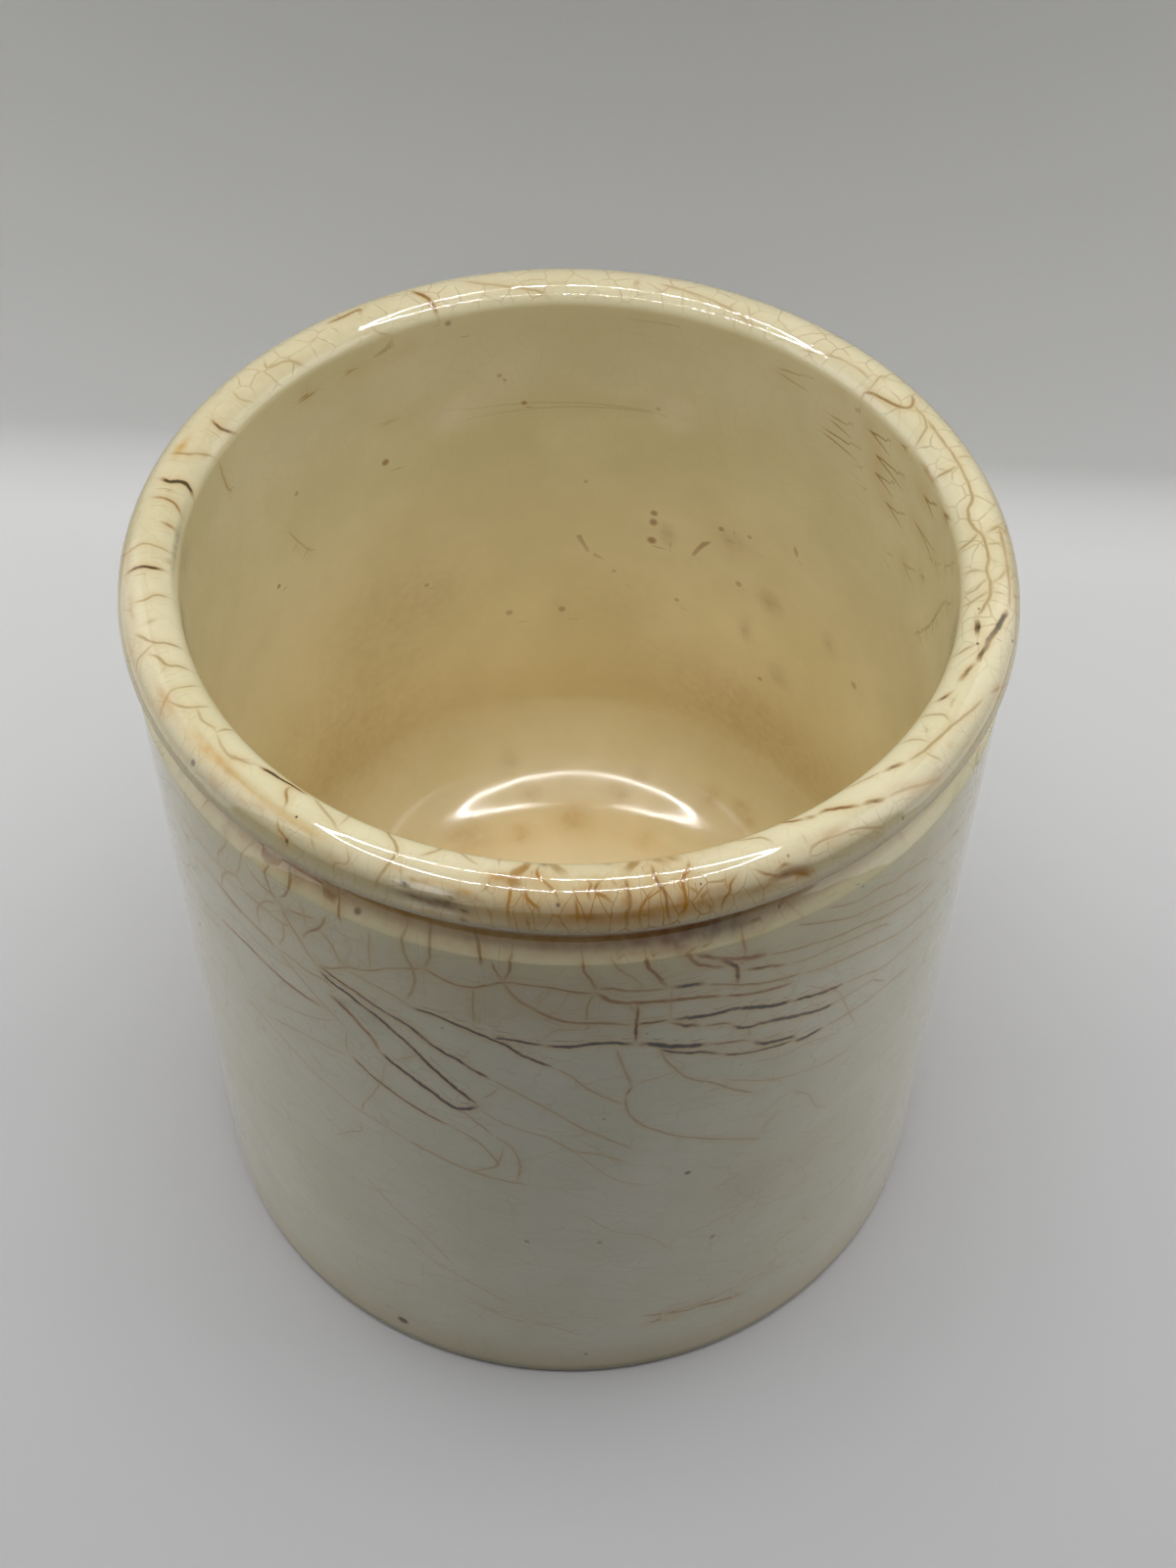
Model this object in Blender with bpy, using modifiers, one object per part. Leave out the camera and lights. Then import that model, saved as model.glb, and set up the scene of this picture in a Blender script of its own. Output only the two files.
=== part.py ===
"""Marmalade pot: one turned and glazed earthenware jar with a tie groove under its lip.

The pot stands on the XY plane with its axis on +Z and its origin at the centre of the
foot. It is one piece of clay, so its whole section is one profile, which a screw of a
full turn carries round the axis. Lengths are in metres.
"""

import math

import bpy

# Driving sizes of the whole pot
POT_HEIGHT = 0.0934
BODY_RADIUS = 0.0434
FOOT_RADIUS = 0.0431
WALL_THICKNESS = 0.0054
FLOOR_THICKNESS = 0.0126

# Lip: a bead that swells out past the wall, with its crest between wall and mouth
LIP_OVERHANG = 0.0006
LIP_HEIGHT = 0.0032
LIP_EDGE_ROUNDING = 0.0004
CREST_INSET = 0.0026
MOUTH_ROUNDING_DROP = 0.0020

# Tie groove, where the string of a cover lies, and the shoulder that slopes out of it
GROOVE_DEPTH = 0.0023
GROOVE_HEIGHT = 0.0038
GROOVE_CORNER_RADIUS = 0.0007
SHOULDER_RISE = 0.0012
SHOULDER_ROUNDING = 0.0005

# Inside: a slightly drafted wall, a wide cove and a dished floor
INNER_WALL_DRAFT = 0.0002
COVE_RUN = 0.0137
COVE_RISE = 0.0117
FLOOR_DISH = 0.0011

# Underside: a rounded foot and a flat foot ring round a shallow recess
FOOT_ROUNDING = 0.0011
FOOT_RING_WIDTH = 0.0036
RECESS_DEPTH = 0.0025
RECESS_EDGE_RADIUS = 0.0012

# Distance below which points count as one, as a share of the pot's height
MERGE_SHARE = 0.0005

# Facets round the axis and along the curved stretches of the section
TURN_STEPS = 88
BEAD_STEPS = 9
COVE_STEPS = 8
DISH_STEPS = 3
CORNER_STEPS = 4

QUARTER_TURN = math.radians(90)
HALF_TURN = math.radians(180)
THREE_QUARTER_TURN = math.radians(270)
FULL_TURN = math.radians(360)

# Clear lead glaze over cream earthenware
GLAZE_COLOUR = (0.72, 0.66, 0.50, 1.0)
GLAZE_ROUGHNESS = 0.12

# Radii and heights worked out from the sizes above
LIP_RADIUS = BODY_RADIUS + LIP_OVERHANG
LIP_UNDERSIDE_HEIGHT = POT_HEIGHT - LIP_HEIGHT
LIP_EDGE_HEIGHT = LIP_UNDERSIDE_HEIGHT + LIP_EDGE_ROUNDING
MOUTH_RADIUS = BODY_RADIUS - WALL_THICKNESS
CREST_RADIUS = MOUTH_RADIUS + CREST_INSET
GROOVE_RADIUS = BODY_RADIUS - GROOVE_DEPTH
GROOVE_FLOOR_HEIGHT = LIP_UNDERSIDE_HEIGHT - GROOVE_HEIGHT
SHOULDER_HEIGHT = GROOVE_FLOOR_HEIGHT - SHOULDER_RISE
FLOOR_CENTRE_HEIGHT = RECESS_DEPTH + FLOOR_THICKNESS
FLOOR_EDGE_HEIGHT = FLOOR_CENTRE_HEIGHT + FLOOR_DISH
INNER_FOOT_RADIUS = MOUTH_RADIUS - INNER_WALL_DRAFT
FLOOR_EDGE_RADIUS = INNER_FOOT_RADIUS - COVE_RUN
RING_OUTER_RADIUS = FOOT_RADIUS - FOOT_ROUNDING
RING_INNER_RADIUS = RING_OUTER_RADIUS - FOOT_RING_WIDTH


def arc(centre, radii, start, end, steps):
    """Points along an elliptical arc in the plane of radius and height, ends included."""
    points = []
    for index in range(steps + 1):
        angle = start + (end - start) * index / steps
        radius = centre[0] + radii[0] * math.cos(angle)
        height = centre[1] + radii[1] * math.sin(angle)
        points.append((radius, height))
    return points


def dished_floor():
    """The inner floor from its centre outwards: it rises with the square of the radius."""
    points = []
    for index in range(DISH_STEPS):
        reach = index / DISH_STEPS
        points.append((FLOOR_EDGE_RADIUS * reach, FLOOR_CENTRE_HEIGHT + FLOOR_DISH * reach**2))
    return points


def inner_cove():
    """The wide elliptical cove between the floor and the inner wall."""
    centre = (FLOOR_EDGE_RADIUS, FLOOR_EDGE_HEIGHT + COVE_RISE)
    return arc(centre, (COVE_RUN, COVE_RISE), -QUARTER_TURN, 0, COVE_STEPS)


def lip_bead():
    """The lip: up the mouth's rounding, over the crest, down the bead to its lower edge."""
    mouth_centre = (CREST_RADIUS, POT_HEIGHT - MOUTH_ROUNDING_DROP)
    mouth_radii = (CREST_INSET, MOUTH_ROUNDING_DROP)
    bead_centre = (CREST_RADIUS, LIP_EDGE_HEIGHT)
    bead_radii = (LIP_RADIUS - CREST_RADIUS, POT_HEIGHT - LIP_EDGE_HEIGHT)
    edge_centre = (LIP_RADIUS - LIP_EDGE_ROUNDING, LIP_EDGE_HEIGHT)
    edge_radii = (LIP_EDGE_ROUNDING, LIP_EDGE_ROUNDING)
    mouth = arc(mouth_centre, mouth_radii, HALF_TURN, QUARTER_TURN, CORNER_STEPS)
    bead = arc(bead_centre, bead_radii, QUARTER_TURN, 0, BEAD_STEPS)
    edge = arc(edge_centre, edge_radii, 0, -QUARTER_TURN, CORNER_STEPS)
    return mouth + bead[1:] + edge[1:]


def tie_groove():
    """The groove under the lip, with its two round corners."""
    corner_radii = (GROOVE_CORNER_RADIUS, GROOVE_CORNER_RADIUS)
    corner_radius = GROOVE_RADIUS + GROOVE_CORNER_RADIUS
    upper_centre = (corner_radius, LIP_UNDERSIDE_HEIGHT - GROOVE_CORNER_RADIUS)
    lower_centre = (corner_radius, GROOVE_FLOOR_HEIGHT + GROOVE_CORNER_RADIUS)
    upper = arc(upper_centre, corner_radii, QUARTER_TURN, HALF_TURN, CORNER_STEPS)
    lower = arc(lower_centre, corner_radii, HALF_TURN, THREE_QUARTER_TURN, CORNER_STEPS)
    return upper + lower


def shoulder():
    """The rounded end of the shoulder, where its slope turns down into the outer wall."""
    slope_run = GROOVE_DEPTH - GROOVE_CORNER_RADIUS - SHOULDER_ROUNDING
    slope = math.atan2(SHOULDER_RISE, slope_run)
    centre = (BODY_RADIUS - SHOULDER_ROUNDING, SHOULDER_HEIGHT - SHOULDER_ROUNDING)
    radii = (SHOULDER_ROUNDING, SHOULDER_ROUNDING)
    return arc(centre, radii, QUARTER_TURN - slope, 0, CORNER_STEPS)


def foot_and_recess():
    """The rounded foot, the flat foot ring and the recess inside it, in to the axis."""
    foot_centre = (RING_OUTER_RADIUS, FOOT_ROUNDING)
    foot_radii = (FOOT_ROUNDING, FOOT_ROUNDING)
    edge_centre = (RING_INNER_RADIUS - RECESS_EDGE_RADIUS, RECESS_DEPTH - RECESS_EDGE_RADIUS)
    edge_radii = (RECESS_EDGE_RADIUS, RECESS_EDGE_RADIUS)
    foot = arc(foot_centre, foot_radii, 0, -QUARTER_TURN, CORNER_STEPS)
    recess_edge = arc(edge_centre, edge_radii, 0, QUARTER_TURN, CORNER_STEPS)
    return foot + [(RING_INNER_RADIUS, 0)] + recess_edge + [(0, RECESS_DEPTH)]


def pot_section():
    """The whole section, from the floor's centre over the lip to the underside's centre."""
    return dished_floor() + inner_cove() + lip_bead() + tie_groove() + shoulder() + foot_and_recess()


def cream_glaze():
    """Glossy clear glaze that shows the cream body below it."""
    material = bpy.data.materials.new("cream_glaze")
    material.use_nodes = True
    shader = material.node_tree.nodes["Principled BSDF"]
    shader.inputs["Base Color"].default_value = GLAZE_COLOUR
    shader.inputs["Roughness"].default_value = GLAZE_ROUGHNESS
    shader.inputs["Metallic"].default_value = 0
    return material


def turn_section(name, section, collection):
    """Turns a section round the Z axis with a Screw modifier, shaded smooth."""
    mesh = bpy.data.meshes.new(name)
    points = [(radius, 0, height) for radius, height in section]
    edges = [(index, index + 1) for index in range(len(points) - 1)]
    mesh.from_pydata(points, edges, [])
    body = bpy.data.objects.new(name, mesh)
    collection.objects.link(body)
    screw = body.modifiers.new("turn", "SCREW")
    screw.axis = "Z"
    screw.angle = FULL_TURN
    screw.steps = TURN_STEPS
    screw.render_steps = TURN_STEPS
    screw.use_merge_vertices = True
    screw.merge_threshold = POT_HEIGHT * MERGE_SHARE
    screw.use_smooth_shade = True
    return body


def clear_scene():
    """Removes every object of the open file."""
    for item in list(bpy.data.objects):
        bpy.data.objects.remove(item, do_unlink=True)


def build_pot():
    """Builds the pot in its own collection."""
    clear_scene()
    collection = bpy.data.collections.new("marmalade_pot")
    bpy.context.scene.collection.children.link(collection)
    body = turn_section("pot_body", pot_section(), collection)
    body.data.materials.append(cream_glaze())


build_pot()
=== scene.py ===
"""Looks of the marmalade pot: a turned earthenware jar under an old, crazed cream glaze.

The pot is one grid. Its rows follow the section, from the middle of the inner floor over the lip
and down to the middle of the underside, and its columns go round the axis. A place on the glaze
is an azimuth in degrees, 0 at the front and positive to the right, and a reach in millimetres,
the length along the section from the lip's crest, positive down the outside and negative inside.
"""

from __future__ import annotations

import logging
import math
import re
from collections.abc import Callable, Iterator
from dataclasses import dataclass, field
from enum import Enum
from functools import partial

import bpy
import numpy as np
from mathutils import Matrix, Vector


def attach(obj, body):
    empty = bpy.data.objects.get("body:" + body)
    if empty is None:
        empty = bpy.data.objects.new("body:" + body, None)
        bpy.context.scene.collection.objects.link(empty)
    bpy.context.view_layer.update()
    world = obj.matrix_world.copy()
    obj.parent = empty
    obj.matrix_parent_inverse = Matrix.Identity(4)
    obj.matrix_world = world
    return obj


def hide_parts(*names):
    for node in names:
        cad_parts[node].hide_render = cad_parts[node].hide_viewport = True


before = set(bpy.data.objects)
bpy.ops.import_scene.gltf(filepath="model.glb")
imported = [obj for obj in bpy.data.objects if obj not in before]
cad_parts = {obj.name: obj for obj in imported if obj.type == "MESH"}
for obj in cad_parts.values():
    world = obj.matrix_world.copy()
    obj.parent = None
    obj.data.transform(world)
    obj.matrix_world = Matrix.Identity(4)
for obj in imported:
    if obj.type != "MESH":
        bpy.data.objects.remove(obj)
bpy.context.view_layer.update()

LOG = logging.getLogger("marmalade_pot")
# A millimetre in metres, and how many of them a metre has
MM, PER_METRE = 0.001, 1000.0
# The places of a Mix node's two inputs, for numbers and for colours, and what a colour mix needs
FROM, TO = 2, 3
UNDER, OVER = 6, 7
COLOURS = {"out": 2, "data_type": "RGBA"}
SOFT = {"interpolation_type": "SMOOTHSTEP"}
# The middle of a noise's colour
HALF = (0.5, 0.5, 0.5)

Socket = bpy.types.NodeSocket
Triple = tuple[float, float, float]
# A stretch of reach: a form starts at the first, is full between the middle two, ends at the last
Band = tuple[float, float, float, float]
# How a number is carried over: from its low and high to a new low and high
Span = tuple[float, float, float, float]
Stops = tuple[tuple[float, str], ...]

# How many times round the axis the waves of the hand-made forms go
TURNS_OF_THE_HAND, OVAL, DENTS = range(1, 4), range(2, 5), range(5, 15)
SHOULDER_DENTS, NICKS = range(6, 30), range(40, 110)
# The reach of the lip's lower edge and of the shoulder's, in millimetres
LIP_EDGE, SHOULDER_EDGE = 4.9, 13.3
# A distance, in half widths or radii, at which no crack and no speck shows, and the least length
FAR, TINY = 20, 1e-9
# Fixes the chances of the small dabs
DAB_SEED = 21


def linear(code: str) -> tuple[float, float, float, float]:
    """Turns an sRGB hex colour to linear light.

    Args:
        code: six hex digits, red first.

    Returns:
        Linear red, green and blue, and an alpha of 1.
    """
    parts = [int(code[at : at + 2], 16) / 255 for at in (0, 2, 4)]
    red, green, blue = (p / 12.92 if p <= 0.04045 else ((p + 0.055) / 1.055) ** 2.4 for p in parts)
    return red, green, blue, 1.0


def add(
    tree: bpy.types.NodeTree,
    kind: str,
    *values: object,
    out: int | str = 0,
    named: dict[int | str, object] | None = None,
    stops: Stops = (),
    **settings: object,
) -> Socket:
    """Adds one node to a tree, sets it up and links it.

    Args:
        tree: the node tree.
        kind: the node's type name after "ShaderNode".
        *values: a value or an output socket for each input in order, or None to leave it.
        out: the name or place of the output to return.
        named: the same for inputs given by name or place.
        stops: for a colour ramp, each stop's position and hex colour.
        **settings: values for the node's own properties.

    Returns:
        The chosen output socket.
    """
    node = tree.nodes.new("ShaderNode" + kind)
    for name, value in settings.items():
        setattr(node, name, value)
    for index, (position, code) in enumerate(stops):
        elements = node.color_ramp.elements
        element = elements[index] if index < len(elements) else elements.new(position)
        element.position, element.color = position, linear(code)
    for key, value in [*enumerate(values), *(named or {}).items()]:
        if isinstance(value, Socket):
            tree.links.new(value, node.inputs[key])
        elif value is not None:
            node.inputs[key].default_value = value
    return node.outputs[out]


def smooth_step(low: float, high: float, value: np.ndarray) -> np.ndarray:
    """The cubic 3t² − 2t³, with t the share of the way from low to high, held to 0..1."""
    share = np.clip((value - low) / (high - low), 0, 1)
    return share * share * (3 - 2 * share)


def plateau(value: np.ndarray, start: float, full: float, last: float, end: float) -> np.ndarray:
    """A smooth step up from the start to full, times one down from the last to the end."""
    return smooth_step(start, full, value) * smooth_step(end, last, value)


def bell(value: np.ndarray, middle: float, spread: float) -> np.ndarray:
    """e to the minus the squared distance from the middle, counted in spreads."""
    return np.exp(-(((value - middle) / spread) ** 2))


def ripple(angle: np.ndarray, orders: range, seed: int) -> np.ndarray:
    """A smooth closed wave round the axis: a sum of cosines of whole orders, scaled to ±1.

    Args:
        angle: azimuths in radians.
        orders: how many times round each cosine goes.
        seed: fixes the phases and strengths.

    Returns:
        The wave's height at each azimuth.
    """
    draw = np.random.default_rng(seed)
    count = len(orders)
    phases, strengths = draw.uniform(0, math.tau, count), draw.uniform(0.3, 1, count)
    waves = np.cos(np.multiply.outer(angle, np.array(orders)) + phases) @ strengths
    return waves / np.abs(waves).max()


@dataclass(frozen=True)
class Arc:
    """A stretch of the section: an elliptical arc in the plane of radius and height."""

    centre: tuple[float, float]
    radii: tuple[float, float]
    start: float
    end: float
    rows: int

    def points(self) -> np.ndarray:
        """The centre plus the radii times cosine and sine, at even steps of angle.

        Returns:
            Points after the arc's start, which is left out, of shape (rows, 2).
        """
        steps = np.arange(1, self.rows + 1)
        turn = np.radians(self.start + (self.end - self.start) * steps / self.rows)
        radius = self.centre[0] + self.radii[0] * np.cos(turn)
        return np.stack([radius, self.centre[1] + self.radii[1] * np.sin(turn)], -1)


@dataclass(frozen=True)
class Line:
    """A straight stretch of the section, from where the last one ended to a point."""

    end: tuple[float, float]
    rows: int

    def points_from(self, start: np.ndarray) -> np.ndarray:
        """Even steps from the start, which is left out, to the end."""
        share = np.arange(1, self.rows + 1)[:, None] / self.rows
        return start + (np.array(self.end) - start) * share


@dataclass
class PotSection:
    """The pot's section in millimetres: the solid's own sizes, with the rim's middle height."""

    height: float = 92.9
    body_radius: float = 43.4
    waist: tuple[float, float] = (43.25, 44.0)
    foot_radius: float = 43.1
    wall: float = 5.4
    floor_centre: float = 15.1
    floor_dish: float = 1.1
    floor_edge: float = 24.1
    floor_rows: int = 14
    cove_rise: float = 11.7
    inner_draft: float = 0.2
    crest_inset: float = 2.6
    mouth_drop: float = 2.0
    lip_overhang: float = 0.6
    lip_height: float = 3.2
    lip_rounding: float = 0.4
    groove_depth: float = 2.3
    groove_height: float = 3.8
    groove_corner: float = 0.7
    shoulder_rise: float = 1.2
    shoulder_rounding: float = 0.5
    foot_rounding: float = 1.1
    ring_width: float = 3.6
    recess: float = 2.5
    recess_edge: float = 1.2
    recess_middle: float = 2.0
    radius: np.ndarray = field(init=False)
    level: np.ndarray = field(init=False)
    reach: np.ndarray = field(init=False)

    def __post_init__(self) -> None:
        """Samples the section and measures the reach of every row from the crest."""
        out = np.linspace(0, 1, self.floor_rows + 1)[1:, None]
        rise = self.floor_dish * out**2 * (3 - 2 * out)
        dish = np.hstack([self.floor_edge * out, self.floor_centre + rise])
        rows = self._chain(dish, self._inside())
        crest_row = len(rows) - 1
        rows = self._chain(rows, self._outside())
        self.radius, self.level = rows.T
        along = np.concatenate([[0], np.cumsum(np.hypot(*np.diff(rows, axis=0).T))])
        self.reach = along - along[crest_row]

    def _inside(self) -> list[Arc | Line]:
        """Lists the stretches from the floor up to the crest.

        Returns:
            The cove, the inner wall and the mouth's rounding.
        """
        mouth, top = self.body_radius - self.wall, self.height - self.mouth_drop
        inset = self.crest_inset
        cove_run = mouth - self.inner_draft - self.floor_edge
        cove_top = self.floor_centre + self.floor_dish + self.cove_rise
        return [
            Arc((self.floor_edge, cove_top), (cove_run, self.cove_rise), -90, 0, rows=18),
            Line((mouth, top), rows=27),
            Arc((mouth + inset, top), (inset, self.mouth_drop), 180, 90, rows=12),
        ]

    def _outside(self) -> list[Arc | Line]:
        """Lists the stretches from the crest down to the middle of the underside.

        Returns:
            The lip's bead and lower edge, the groove, the shoulder, the wall, the foot, its ring
            and the recess.
        """
        crest = self.body_radius - self.wall + self.crest_inset
        lip = self.body_radius + self.lip_overhang
        under = self.height - self.lip_height
        edge = under + self.lip_rounding
        groove = self.body_radius - self.groove_depth
        corner = groove + self.groove_corner
        groove_floor = under - self.groove_height
        run = self.groove_depth - self.groove_corner - self.shoulder_rounding
        slope = math.degrees(math.atan2(self.shoulder_rise, run))
        shoulder = groove_floor - self.shoulder_rise
        foot = self.foot_radius - self.foot_rounding
        ring = foot - self.ring_width
        fine, small, soft = self.lip_rounding, self.groove_corner, self.shoulder_rounding
        low, hollow = self.foot_rounding, self.recess_edge
        return [
            Arc((crest, edge), (lip - crest, self.height - edge), 90, 0, rows=20),
            Arc((lip - fine, edge), (fine, fine), 0, -90, rows=4),
            Line((corner, under), rows=2),
            Arc((corner, under - small), (small, small), 90, 180, rows=3),
            Line((groove, groove_floor + small), rows=4),
            Arc((corner, groove_floor + small), (small, small), 180, 270, rows=3),
            Arc((self.body_radius - soft, shoulder - soft), (soft, soft), 90 - slope, 0, rows=4),
            Line(self.waist, rows=52),
            Line((self.foot_radius, low), rows=26),
            Arc((foot, low), (low, low), 0, -90, rows=5),
            Line((ring, 0), rows=3),
            Arc((ring - hollow, self.recess - hollow), (hollow, hollow), 0, 90, rows=4),
            Line((self.recess_middle, self.recess), rows=9),
        ]

    @staticmethod
    def _chain(rows: np.ndarray, stretches: list[Arc | Line]) -> np.ndarray:
        """Joins stretches into one run of rows.

        Args:
            rows: the rows so far.
            stretches: what comes after them, in order.

        Returns:
            All the rows, of shape (count, 2).
        """
        for stretch in stretches:
            found = stretch.points() if isinstance(stretch, Arc) else stretch.points_from(rows[-1])
            rows = np.vstack([rows, found])
        return rows


class Tone(Enum):
    """What has soaked into a crack or a stain, as its place on the finish's ramp of tones."""

    OCHRE = 0.05
    ORANGE = 0.2
    TAN = 0.35
    RUST = 0.5
    BROWN = 0.65
    GREY = 0.8
    DARK = 0.95


@dataclass(frozen=True)
class Crack:
    """One crack of the glaze: its tone, half width in millimetres, strength and path of places."""

    tone: Tone
    half_width: float
    strength: float
    path: tuple[tuple[float, float], ...]

    def line(self, steps: int = 6) -> np.ndarray:
        """A Catmull-Rom curve through the path's points.

        Args:
            steps: how many points it has for each stretch of the path.

        Returns:
            Azimuths in radians and reaches in millimetres, of shape (count, 2).
        """
        points = np.array(self.path, float) * (math.pi / 180, 1)
        ends = np.vstack([2 * points[0] - points[1], points, 2 * points[-1] - points[-2]])
        share = np.arange(steps)[:, None, None] / steps
        before, start, end, after = ends[:-3], ends[1:-2], ends[2:-1], ends[3:]
        curve = 0.5 * (2 * start + (end - before) * share
                       + (2 * before - 5 * start + 4 * end - after) * share**2
                       + (3 * start - before - 3 * end + after) * share**3)
        return np.vstack([curve.transpose(1, 0, 2).reshape(-1, 2), points[-1:]])


@dataclass(frozen=True)
class Stain:
    """A soft-edged stain: its place, half sizes across and along the section in mm, and amount."""

    tone: Tone
    azimuth: float
    reach: float
    across: float
    along: float
    amount: float


@dataclass(frozen=True)
class Speck:
    """A small round spot in the glaze: its place, radius in millimetres, tone and amount."""

    tone: Tone
    azimuth: float
    reach: float
    radius: float
    amount: float


@dataclass(frozen=True)
class DabLot:
    """A lot of small dabs of stain: how many, and the least and the most of each measure."""

    count: int
    azimuth: tuple[float, float]
    reach: tuple[float, float]
    across: tuple[float, float]
    along: tuple[float, float]
    most: float
    least_share: float = 0.3

    def dabs(self, draw: np.random.Generator) -> Iterator[Stain]:
        """Draws the lot's dabs, of ochre, orange or tan.

        Args:
            draw: where the chances come from.

        Yields:
            One stain after the other.
        """
        for _ in range(self.count):
            tone = (Tone.OCHRE, Tone.ORANGE, Tone.TAN)[int(draw.integers(3))]
            bounds = (self.azimuth, self.reach, self.across, self.along)
            measures = [draw.uniform(*bound) for bound in bounds]
            yield Stain(tone, *measures, self.most * draw.uniform(self.least_share, 1))


def read_marks(table: str) -> Iterator[tuple[Tone, list[float]]]:
    """Reads a table of marks, each the name of its tone and the numbers up to the next name.

    Args:
        table: the marks. From "#" to the end of a line is a comment.

    Yields:
        Each mark's tone and numbers, in the table's order.
    """
    for name, numbers in re.findall(r"([a-z]+)([^a-z]+)", re.sub("#.*", "", table)):
        yield Tone[name.upper()], [float(number) for number in re.findall(r"-?[\d.]+", numbers)]


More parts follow.
